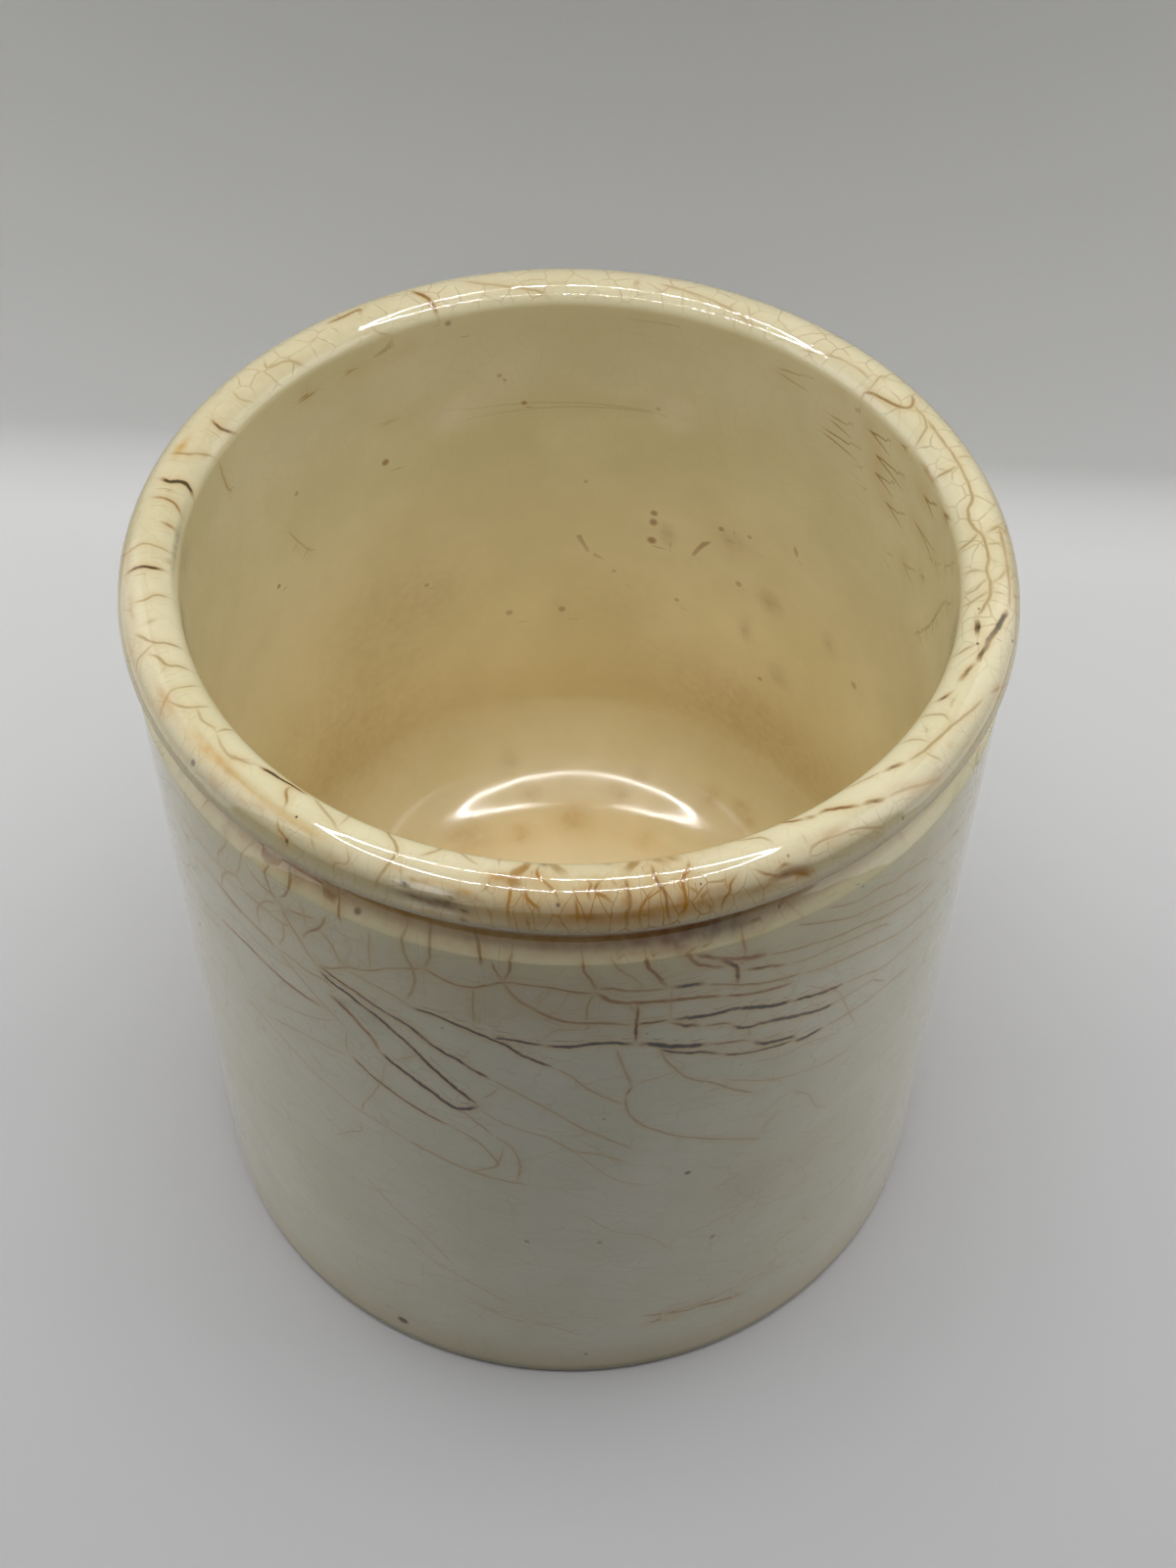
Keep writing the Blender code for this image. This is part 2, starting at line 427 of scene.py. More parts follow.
# Each crack: its tone, half width and strength, then the azimuth and reach of its path's places
CRACK_TABLE = """
# The long dark and rust-coloured cracks of the outer wall, left of the front
dark .15 .95: -20 24.8, -16.7 25, -14.5 25.6, -12.5 26.2, -9.7 27.2, -8 27.8, -6 29.3, -4 30.2,
    -2 31.2
tan .11 .47: -2 31.2, .2 32.7, 2.5 35.2, 5.2 37.2, 7 38.3
dark .16 .95: -9.7 27.2, -8.5 26.8, -6.5 26.9, -3 27.4
dark .17 1: -33 25.3, -31 26.3, -29 26.8, -27 27.7, -24.5 28.8, -22.5 30.2, -20.5 31.7,
    -18.5 33.8, -16 36.1, -14 37.8, -11.8 39.5
brown .15 .95: -33 24.4, -30 25.2, -27.5 25.8, -25 26.8, -22 27.7, -20 28.5, -18 30, -16 31.2
dark .17 1: -24 27.1, -22 27.7, -20 28.5, -18 30, -16 31.2, -14 32, -12 33.3, -10 34.3
tan .11 .43: -10 34.3, -7 36, -3.5 38.3, -1 40.2, 1.5 42.3, 5 44.7, 8.5 47.2
brown .2 .8: -31.8 28.6, -30 29.5, -28.6 30.4, -27.5 31.6, -26 32.9, -25 34.9
dark .2 1: -25 34.9, -23 36.2, -20 37.9, -17.5 39.5, -15 41, -13 40.4, -11.8 39.7
brown .12 .4: -15 41, -13.5 41.8, -11.5 43.5, -10 45
tan .088 .47: -10 45, -8 46.4, -6.8 48.9, -6.7 51.8, -7.2 53.5
grey .12 .89: -29.5 38.1, -27 40, -25 41, -22 42.5, -19 43.7, -16 44.7
tan .097 .47: -16 44.7, -12.5 46.4, -10.6 48.7, -9.6 50.6, -11.5 52, -13.4 52.8
tan .088 .39: -8.8 46.8, -9.2 49.3, -10.2 51
tan .088 .39: -11.7 40.2, -9.5 41.8, -6.5 43.1, -3 44.2, -1 45.6, .5 46.8, 4 47.7, 8 49.9
tan .088 .39: -11.5 38.5, -10 37, -9 35.6
ochre .088 .33: -45 38.1, -40 36.4, -35 34.8, -31.5 33
tan .088 .39: -44 41.3, -40 40, -37 39.3, -33 38.8, -30 38.3
tan .088 .31: -50 42, -45 42.9, -41 44.1, -37 45.8, -33.5 47, -30 48.3, -26 49.1, -22.5 50.2
grey .11 .42: -22.5 50.2, -18 51.6, -13.5 52.9, -9 53.7, -5.5 54
ochre .088 .33: -24.5 36.8, -25.2 40.2, -27 43.9, -28.5 46.4, -29.2 48.5
ochre .088 .29: -29.7 33.5, -30.2 36, -30 38.1
ochre .088 .26: -29.7 50.6, -29.7 52.7, -31.5 53.9, -34.5 56.8
ochre .088 .33: -23.2 35.6, -20.5 33.7, -19.3 32.6
brown .25 .6: -52 24, -49 24.5, -45.5 25.1, -42 25.6, -40 26.3
tan .11 .47: -40 26.3, -37.5 26.2, -35 26.8, -32.5 26.5, -30.5 27.4
tan .11 .39: -40 26.4, -38 27.7, -35 29.8, -32 31.8, -29.5 33.5
grey .17 .23: -51 28.1, -49.5 27.7, -48 27.5, -45.5 27.9, -42 28.4, -39 28.3, -37 27.7
ochre .11 .29: -59.5 32.8, -55 31.8, -52.5 30.9
grey .18 .68: -52.5 30.9, -49 30.6, -46.5 30.5, -43 31, -40 31.4, -37 31.7, -33.2 31.8
tan .11 .31: -60 35, -55 33.7, -52.7 32.7
tan .12 .39: -60 20.1, -54.5 20, -50 20, -47.5 19.5, -46 18.9, -44.5 20.2
grey .2 .47: -61 22.6, -59 22.9, -57.5 22.7
grey .15 .53: -54.5 23.3, -52 24
tan .11 .31: -55 24, -57.2 25, -56.6 26.8, -55.5 28.2
tan .13 .27: -66 27, -61 27.6, -56 28.4
grey .18 .32: -68 31, -64 31.6, -60 32.6
tan .13 .23: -67 36.5, -62 37, -57 38.6
# The net of fine cracks under the shoulder, left and middle
tan .11 .58: -33 24.4, -31 23.9, -28.5 22.3, -25 21, -22.5 19.5, -20 18.5, -17.7 17.7
rust .13 .74: -17.7 17.7, -16.2 18.3, -14 19, -11.5 18.9, -8 17.4, -5 17.4, -2 17.7, 1 18.4,
    3.1 18.4
tan .097 .55: -28.5 22.7, -25 23.2, -22 23.8, -20 24.8
rust .13 .51: -20.2 12.4, -20.2 15, -20 16.4, -19.2 18, -19 20, -19.5 22, -20.5 23.8
rust .13 .51: -17.7 17.7, -16.8 15.6, -16.8 13.2, -17.3 11.6
rust .13 .74: -10.5 15.4, -10.7 13.2, -11.8 11.5
rust .11 .64: -8 17.4, -8.8 15.6, -9.3 14.1
rust .11 .69: -8 17.4, -7.1 15.2, -7.2 12.5
tan .097 .47: -11.6 19, -11.8 21.8, -11.8 25.2
rust .15 .78: -8 17.4, -6.5 19.7, -5 20.8, -2.7 22.3, -.2 23.2, 4.5 23.6, 7.5 24.2
rust .13 .69: -30.5 15, -31 16.4, -32.2 18.1, -34 19.8, -35 21.3
rust .11 .64: -28.4 15.2, -29 12.7, -30.2 11.5
tan .097 .51: -32.2 18.1, -30.5 19.3, -29.7 21, -28.5 22.5
tan .12 .58: -38 17.9, -36.8 20, -35.5 21.8, -34.5 23.3, -33 24.5
rust .12 .64: -36.8 17.9, -33 16.8, -32 16.4
rust .12 .69: -38 16.8, -36.5 15.2, -35.8 12.9, -37.5 11.9
tan .088 .43: -35 15, -34 16.4, -34.2 19.3
rust .11 .64: -40 12.7, -39.8 15, -39 17.2, -38 17.9
tan .11 .47: -42.5 24.6, -42.8 22.9, -42 20.6, -40 18.7, -38 17.9
tan .097 .47: -38 20.6, -38.2 23.1, -39.5 25.4
tan .11 .47: -46 20.6, -42 20.6, -38 21, -36.8 20
tan .11 .47: -50.2 23.9, -49.5 21.8, -48 19.8, -46 18.9
tan .11 .43: -50 19.8, -49.2 17.7, -47.5 15.6, -46.6 13.6
rust .11 .6: -43 15.4, -41 16.8, -38 17
tan .097 .39: -43.4 12.2, -44 14.5, -45 17, -46 18.9
orange .3 1: -43.5 12.2, -40 12.8, -37.5 12.4, -34 12.2, -30.5 12.8, -29 12.6
rust .12 .64: -52.5 14, -52.4 12, -53 10.5
tan .097 .39: -25 21, -24.8 17.5, -24.4 14.2
tan .088 .35: -3.5 26.6, -2 24.8, 0 24.5, 2.2 24.4, 2.2 23.2
tan .088 .31: -4.2 20.3, -2.6 18.8, -2 17.7
# The long cracks that run round the wall to the right of the front
dark .2 1: -3 27.4, 0 27.4, 2.5 27, 5.2 27, 7 27.4, 8.2 27.6
dark .26 1: 8.2 27.6, 10.5 28.1, 12.5 28.9, 15 29.5, 17.5 30
brown .12 .75: 17.5 30, 19 30.5, 22 31.2, 23.7 32
dark .2 .95: 23.7 32, 25.5 33.4, 27.5 33.9, 30 34.6, 30.3 35.2
dark .16 .9: 11 28.9, 12.5 29.8, 15 30.8, 17 31.2, 19.5 32.5
grey .13 .84: 19.5 32.5, 22 33.6, 25 34.3, 28.2 35, 30.2 35.4
dark .2 .95: 30.2 35.4, 31.5 35.9, 35 36.1
tan .11 .47: 35 36.1, 39 36.5, 43 37, 48 37.6, 53 38.8
brown .19 1: 12.5 24.7, 13.5 25.4, 16.5 26.5
brown .14 .7: 16.5 26.5, 19.7 27.2, 20.6 27.9
grey .2 1: 20.6 27.9, 21.6 28.8, 23 29.3, 25 29.4, 28 30.2, 31 31.2, 34.5 32.3, 36.5 32.6
tan .11 .39: 36.5 32.6, 42.5 33.3, 45 35.1, 46.5 36.2
brown .16 .85: 7.5 24.2, 12.5 24.2
dark .22 1: 12.5 24.2, 16.5 24.8, 20.5 25.1, 22.5 25.7, 25.5 26.8, 29 27.7
grey .2 1: 29 27.7, 32 28.6, 35 29.4, 37.5 30
tan .11 .47: 37.5 30, 41.5 31.2, 45 32.7, 50 33.5, 55 34.6
rust .2 .92: 3.1 18.4, 5 20, 7.5 20.5, 11.5 20.9, 16.5 21.6, 19 22.3
brown .16 .8: 19 22.3, 22 23.2, 25.5 24, 28.7 24.4
rust .15 .74: 3.1 17.8, 5 17.9, 7 18.5, 9.5 18.8, 12 18.9
dark .24 .95: 12 18.9, 15 19.1, 16.5 19.5
rust .13 .64: 16.5 19.5, 19 20.4, 21 21.2, 25 22.5, 30 23.5
tan .11 .51: 30 23.5, 33 24.5, 38 25.6, 43 27, 48 28.9, 52.5 30, 58 31.2
rust .2 .87: 15 14.3, 18 15.8, 20 16.6, 22.5 17.3, 24.5 17.8
tan .11 .55: 24.5 17.8, 27.5 18.6, 31 19.3, 35.5 20.5, 39 21.2, 42.5 22.5, 46.5 23.7, 50 24.8,
    55 25.8
rust .18 .87: 13.6 13.6, 15 15.6, 17 16.8, 19 17.5
dark .16 .95: 27.3 11.6, 27 12.1, 25.9 12.45, 23.7 12.65, 21.6 12.7
rust .13 .9: 27.4 12.1, 28.6 13, 28.9 14
brown .2 .95: 18 15.8, 19.5 17.2, 20.5 18.3, 20.7 20.9
brown .17 .8: 21.5 18.9, 24 19.6, 25.5 20, 27.5 20.8
tan .11 .47: 27.5 20.8, 30.5 21.5, 35 22, 38.5 22.8, 43 24.1, 45 25.3
tan .11 .51: 28.2 14.8, 31 16, 34.5 17.5, 37.5 18.7, 40.5 19.3, 44 20.4, 47.5 21.9, 51 22.9
tan .11 .43: 32.5 14.5, 37 16.2, 41 16.6, 44 17.5, 46.5 17.9, 50 18.9, 52 19.8
grey .25 .53: 58 21.6, 59.5 22, 60.8 22.7
tan .12 .31: 52 19.8, 56 21, 61 22.4, 66 24.5
grey .2 .47: 62 13.8, 65 15.4, 67 16.9
rust .12 .69: 1.4 12.6, 1.7 15, 2.7 16.8, 3.1 18.3
tan .097 .51: 3.1 18.4, 2.2 20.2, 2 23.2
rust .17 .83: 8.8 13.2, 9.2 14.8, 10 16, 11.7 18.8
tan .097 .51: 4.9 13.2, 5.7 14.8, 7.5 16.4, 8.6 17.9, 8.5 18.8
tan .088 .39: 12.2 18.9, 12.4 24.3
brown .14 .9: 8.1 20.8, 8.2 22.2, 8.1 24.3, 8.1 27.4
rust .11 .55: 6.9 20.6, 8.1 22.3
rust .12 .64: 20.7 12.6, 21 14.4, 21.5 16.6
dark .14 .75: 23 29.5, 23.4 31
tan .11 .51: 5.7 28, 6.7 31.4, 7.9 34.9
brown .13 .75: 7.9 34.9, 7.2 36.9
tan .11 .51: 7.2 36.9, 7.2 38.5, 8 40.8, 10 43.1, 14.5 46.2, 18 47.9, 22 49.8, 27 52.4
tan .11 .51: 11.2 29.3, 12.2 31.4, 13.7 33.5, 15.5 35.6, 19 37.7, 22 40.2, 25.2 42.3
tan .088 .39: 20 37.4, 23 38.8, 25.5 40.2, 29 41.8
tan .088 .39: 8.2 34.5, 11.5 34.1, 13.7 33.5
ochre .088 .29: 31 26.2, 34 28.6, 36.8 31, 38.5 34.5, 41 39.5
tan .088 .31: 24 36, 28 37.2, 32.5 37.3, 35.5 38.3, 38 39
tan .088 .27: 27 41, 32 42.5, 37 43.8, 42 44.6
tan .088 .27: 31 45.5, 34 48, 36 51.8, 38.5 54
tan .088 .23: .5 46.8, 3 49.8, 6.5 53.2, 10.5 55
# Low on the wall: a small brown cluster, and faint slanting lines in the thick glaze
brown .14 .7: 11 85.2, 14 85.6, 17.8 86.4, 20 86.2, 23 86.9, 27.7 87.6
rust .12 .18: 14 85.6, 16 84.3, 19 84.2
rust .11 .18: 20 86.2, 25 84.9, 31 85.2, 35 86.6
brown .11 .5: 10 87.4, 14 87.2, 17.8 87.4
tan .11 .23: -24 72, -20 75.5, -15 77.8, -9 81.5
tan .11 .22: -30 62, -26 66.2, -21 70.1, -17 75
tan .11 .22: -14 83, -9 85.2, -3 86.1, 2 88.6
tan .088 .2: 2 60, 6 64, 11 66.2, 15 71
# The lip: first the left front and the left side, then the front, then the right side and the
# back
tan .097 .46: -49.6 .1, -48.3 -.1, -46.7 -.5, -45.4 -1.1
grey .16 1: -45.2 -1.2, -42.6 -1.6, -40 -1.85, -37.2 -2
orange .11 .84: -39.8 -1.8, -39.3 -.7, -38.1 .1, -37.8 .6
tan .11 .46: -36.5 -2.2, -34.8 -1.55, -33.3 -1.05, -31.5 -.5, -30 .2
tan .088 .37: -30.7 -2.6, -30.4 -1.5, -30.3 -.4
tan .12 .53: -25.2 -3.2, -24.6 -2.1, -23.7 -1.4, -22.6 -.8, -22 -.2, -21.9 .5, -22.4 1.8,
    -22.8 2.5, -23.1 3.6
ochre .11 .46: -17.1 -3, -17.2 -2.1, -17.5 -1.4, -18.5 -.6, -19.2 -.2
tan .11 .4: -14.8 -3, -14.4 -2.2, -13.3 -1.4, -11.5 -.6
ochre .097 .37: -9.4 -2.8, -9.2 -1.8, -9 -.9
orange .35 .72: -5.2 -2.4, -5.4 -1.8, -5.9 -1.1, -6.5 -.5, -7 .3, -5.9 .9
orange .3 .6: -2.4 -2.6, -1.9 -1.5, -1.1 -.8, -.5 -.3
orange .1 .9: -4.1 -1.4, -4.1 -.3, -3.3 .2, -1.9 1.1, -1.2 1.9
orange .12 .96: -5.4 .9, -5 1.8, -3.7 2.5, -3.4 3.1
orange .1 .78: -9.7 .6, -9.8 1.2, -10.6 1.8
orange .11 .9: -7 .3, -7 1.5, -7.2 2.7, -7 3.8
rust .1 .62: -9.8 2.7, -9.1 3.5, -8.9 4.2
rust .11 .66: -5.1 3.1, -4.8 4, -4.6 4.6
tan .088 .37: -32.8 1.3, -32.2 2, -31.1 2.8
ochre .088 .37: -27.9 1.2, -27 2, -27.3 2.6, -28.6 2.8, -28.4 3.9
tan .088 .31: -25.9 3.1, -25.5 4
tan .088 .31: -43.3 2.8, -42.8 3.8
orange .1 .66: -37.6 1.8, -36.8 2.6, -35.2 3, -35.2 3.8
orange .1 .72: -20.7 1.2, -20.2 1.8
ochre .13 .5: -110.2 -2.9, -109.3 -1.8, -107.9 -.3, -107.6 1.6
grey .18 1: -101.2 -2.9, -102.4 -1.8, -102.4 -.8, -101.9 0, -102.6 1.2
grey .17 .75: -100.2 -.7, -100.2 .1
brown .12 .68: -96.4 -2.4, -98.1 -1.3, -98.6 -.1, -98.8 1.3
grey .13 .62: -93.4 -2.4, -93.8 -1.4, -94 -.4
ochre .11 .46: -88.6 -2.3, -89.3 -.5, -89.8 1, -89 2.6, -90 4.4
grey .25 .75: -87 -2.3, -87 -1.5
grey .15 .81: -84.8 -1.7, -85.1 -.5, -85.5 1, -85 2.7
ochre .097 .46: -79.7 -2.2, -80 -.5, -79.3 .4, -79.5 1.8
grey .2 .5: -75.4 -.3, -75.2 .9
tan .12 .53: -69.7 -2.3, -70.7 -.8, -71.4 .4, -72.9 1.3, -74.2 2
tan .11 .43: -71.2 .4, -70.6 1.4, -70 2.6, -68.6 3.1
tan .12 .5: -65.4 -2.2, -66.4 -.8, -66.9 0, -68.8 .6, -70 1.4
tan .097 .37: -66.9 0, -66 .9
ochre .097 .43: -62.3 -2.2, -62.4 -.8, -62.6 .7, -61.9 1.5, -61 2.4, -60.4 3.4
ochre .097 .46: -58.1 -1.8, -58.3 -.8, -59 .3, -60.2 1, -61.9 1.5
ochre .11 .37: -58.3 -.5, -56 -.2, -54 -.7, -53.1 -.5
tan .11 .46: -53.1 -2.6, -53.2 -1.3, -53.1 -.4
tan .11 .37: -53 -.5, -50.7 0, -48.3 .1, -47.2 -.6, -46.4 -1.2
tan .11 .31: -70.7 3, -72.1 4.2
orange .11 .9: .6 1.5, .8 2.7, .9 3.8
orange .1 .84: 2 .1, 2.6 .6, 2.1 1.1, 2.4 1.9
orange .11 .9: 3.9 .1, 3.3 .5, 3 1.2, 3.9 1.5, 5 2.1
orange .1 .84: 5 .1, 5.7 .9
rust .15 .81: 6.6 -.1, 6.9 .9, 6.9 2.4, 6.5 3.2, 6.6 4.4
rust .12 .81: 10.3 -1, 10.5 .9, 11.2 1.5, 11.3 3, 11.5 4.4
orange .13 1: 15.1 -.8, 14.6 .2, 13.7 .7, 13.5 1.6, 13.5 2.8, 13 4
orange .1 .84: 13.9 1.4, 15.3 2.4
orange .11 .9: 9.8 1.4, 8.7 2.2, 8 3.1, 8.1 4.4
orange .13 .9: 15.4 3.2, 15.4 2.6, 16.5 2.1
rust .11 .66: 15.6 3.1, 16.3 3.6, 16.2 4.5
rust .11 .71: 20.2 1.5, 19.1 2.1, 18.9 2.7, 18.1 3.2, 17.6 4.2
brown .12 .75: 22.4 1.6, 23.5 2.1, 24.3 2.5, 25.4 2.8
brown .14 .55: 26.9 2.9, 27.8 3.3, 29.4 4
brown .13 .72: 25 2.2, 26.2 2, 27.4 2.3
tan .11 .46: 22 -2.6, 22.8 -1.9, 24.6 -1.4, 25.7 -.8, 26.1 -.1
brown .13 .81: 29.2 -3.2, 29.7 -2.2, 30.6 -1.6, 32 -1.2
grey .2 .7: 31.6 -1.3, 33.6 -.95
brown .14 .81: 33.6 -1, 35 -.95, 36.1 -.55, 37.6 0, 39 .45
dark .15 .7: 39 .45, 40.4 .75, 42.4 1.25
tan .11 .43: 42.4 1.25, 44.6 1.5, 46.9 2.1, 48.7 2.7, 51 3.2
tan .11 .43: 39.6 -2.3, 42.8 -1.55, 45 -1.05
dark .15 .65: 45.2 -.95, 46.6 -.6, 48.4 -.1
tan .11 .5: 48.6 0, 51.2 .35, 54.5 .6, 57.4 .9, 60.7 1.5, 64.3 2.1
tan .097 .43: 29.3 2.2, 30.2 1.6, 32 1.5, 34.3 1.7, 36.1 1.9, 38 2.4, 40.4 3.3
tan .088 .31: 30 0, 29.8 1.4
orange .32 .6: 9 -2.6, 8.5 -1.8, 7.6 -1, 6.9 -.4
orange .3 .6: 10.6 -2.4, 11.7 -1.5, 12.1 -.9
orange .3 .54: 12.6 -2.4, 13.1 -1.7, 14.3 -1
dark .14 .77: 60.4 -2, 61.2 -1.3, 62.9 -.8
dark .14 .66: 60.2 -.3, 61.7 -.25
dark .2 .75: 64.5 -.7, 66.2 -.5, 67.4 -.35, 68.8 .05
dark .2 .8: 68.8 .05, 71.7 .45, 73.8 .6, 75.5 1.05, 77.9 1.5, 80 1.95
tan .15 .5: 80 1.95, 81.2 2.1, 85.5 2, 90.2 1.9, 95 1.85
dark .2 .88: 73.4 -.6, 75.5 -.75, 77 -1
tan .11 .46: 69.7 -2.7, 70.2 -1.8, 71.2 -1.2, 72.1 -.4
tan .13 .5: 77.2 -1, 79.3 -.4, 81.2 0, 84 .05, 86 -.3, 88.3 0, 92.6 -.15, 93.6 -.5, 95.5 -1,
    98.3 -.9, 99.8 -.1, 103.1 .2, 108.3 .3, 113 .2, 117 .4
tan .12 .46: 80.2 -2.8, 80.2 -1.8, 81.7 -.5, 82.2 0
tan .11 .43: 82.1 -2.8, 82.6 -1.4, 84.5 -.5
tan .11 .43: 86.7 -2.8, 86.2 -1, 85.8 -.4
tan .12 .5: 91.6 -3.2, 92.1 -1.5, 93.6 -.5
tan .13 .5: 106.8 -3, 106.4 -1.5, 106.9 .1
tan .11 .43: 113.6 -2.9, 114.6 -1.3, 115.9 -.2, 118 .3, 120.6 .3
tan .11 .4: 82.2 .1, 82.3 1.9
tan .11 .4: 84 .1, 85 1, 87.4 1.9
tan .11 .37: 88.3 .1, 87.9 1.2
tan .11 .43: 91 -.1, 91.9 1.9
tan .12 .46: 93.2 0, 94.2 1.1, 95 1.9, 94.6 2.6, 95.6 3.2
tan .11 .4: 108.3 .3, 108.8 1.9, 108.4 3
grey .25 .75: 95.7 3, 96.6 3.9, 97.9 4.9
ochre .11 .43: 51.2 -2.2, 52.6 -1, 53.1 .2
tan .11 .4: 57.1 -2.8, 57.9 -1, 58.3 -.4, 57.6 .6
rust .13 .66: 55.2 -1.1, 54.3 -.6
tan .097 .37: 51.2 .4, 51.7 1.4, 52.3 2.4
tan .11 .43: 45 1.5, 47.4 2.3, 49.8 3, 51 3.3
rust .13 .66: 65.5 2.5, 66.8 2.9, 68.3 3.5
rust .13 .71: 127.4 -3.1, 127.1 -2.1, 122.7 -1.3, 120.6 -.6, 120.6 .3, 122.7 1.4
tan .11 .4: 127.2 -2, 127.4 -.9, 127.9 .4, 126.4 .9
tan .11 .37: 140.9 -2.2, 135.2 -1, 131 -.7, 128 -.9
tan .11 .37: 150 -2, 155 -1, 160.2 -.4, 166.5 .1
grey .2 .62: 170.1 -.9, 169.6 .4
ochre .12 .4: -176.8 -2.6, -174.8 -1.8, -169.6 -.9, -165.4 .1, -163.3 1
rust .17 .81: -158.1 -2.9, -157.6 -1, -156.6 .3, -155.5 1.4
tan .11 .37: -149.8 -3.4, -147.7 -2.6, -147 -1.4
rust .16 .66: -146.7 0, -147.2 1, -144 .8, -141.5 1
tan .11 .37: -134 -2.4, -132.1 -.9, -129 -.2, -130 1.1
ochre .12 .4: -122.7 -2.2, -121.4 -.9, -122.2 .5
grey .15 .75: -116.5 -3.2, -115 -1.6, -115.6 0
# Inside: slanting cracks high on the right and short rings at the back
tan .11 .48: 103 -14.8, 105 -15.4, 111.3 -17.7, 117 -19.3
tan .12 .56: 101 -9.4, 105 -10.2, 111.3 -11, 116.5 -12.7, 125.8 -14.3
brown .14 .63: 113.9 -8.5, 120.1 -10.2, 126.9 -12.1
brown .14 .68: 102 -3.8, 105 -4.9, 108.1 -6, 120.1 -7.9, 125.8 -9.3, 134.7 -10.2
brown .13 .63: 114.9 -3.2, 120.1 -4.9, 130 -7.4, 133.6 -7.9
tan .11 .48: 130 -3.8, 139.4 -4.9, 144.6 -5.7
tan .11 .4: 150.8 -4.1, 161.3 -4.6, 171 -4.8
tan .1 .2: 165 -17.6, 175 -17.4, 185 -17.2, 196 -16.8, 207 -15.7, 214 -15
tan .11 .4: -155 -6.4, -145.6 -6.3, -140.4 -5.7
grey .16 .6: -135.2 -5.8, -131 -5.7
rust .16 .63: 98.3 -2.9, 100 -3.5, 102.1 -4
tan .13 .36: -110.5 -3.4, -111.2 -6, -112.5 -9.5
tan .14 .4: 88 -8, 94 -12, 98 -18, 104 -24
tan .12 .32: 92 -4.5, 96 -8, 104 -12.2
tan .12 .28: -130.5 -28, -128 -25.5, -125.4 -22
"""

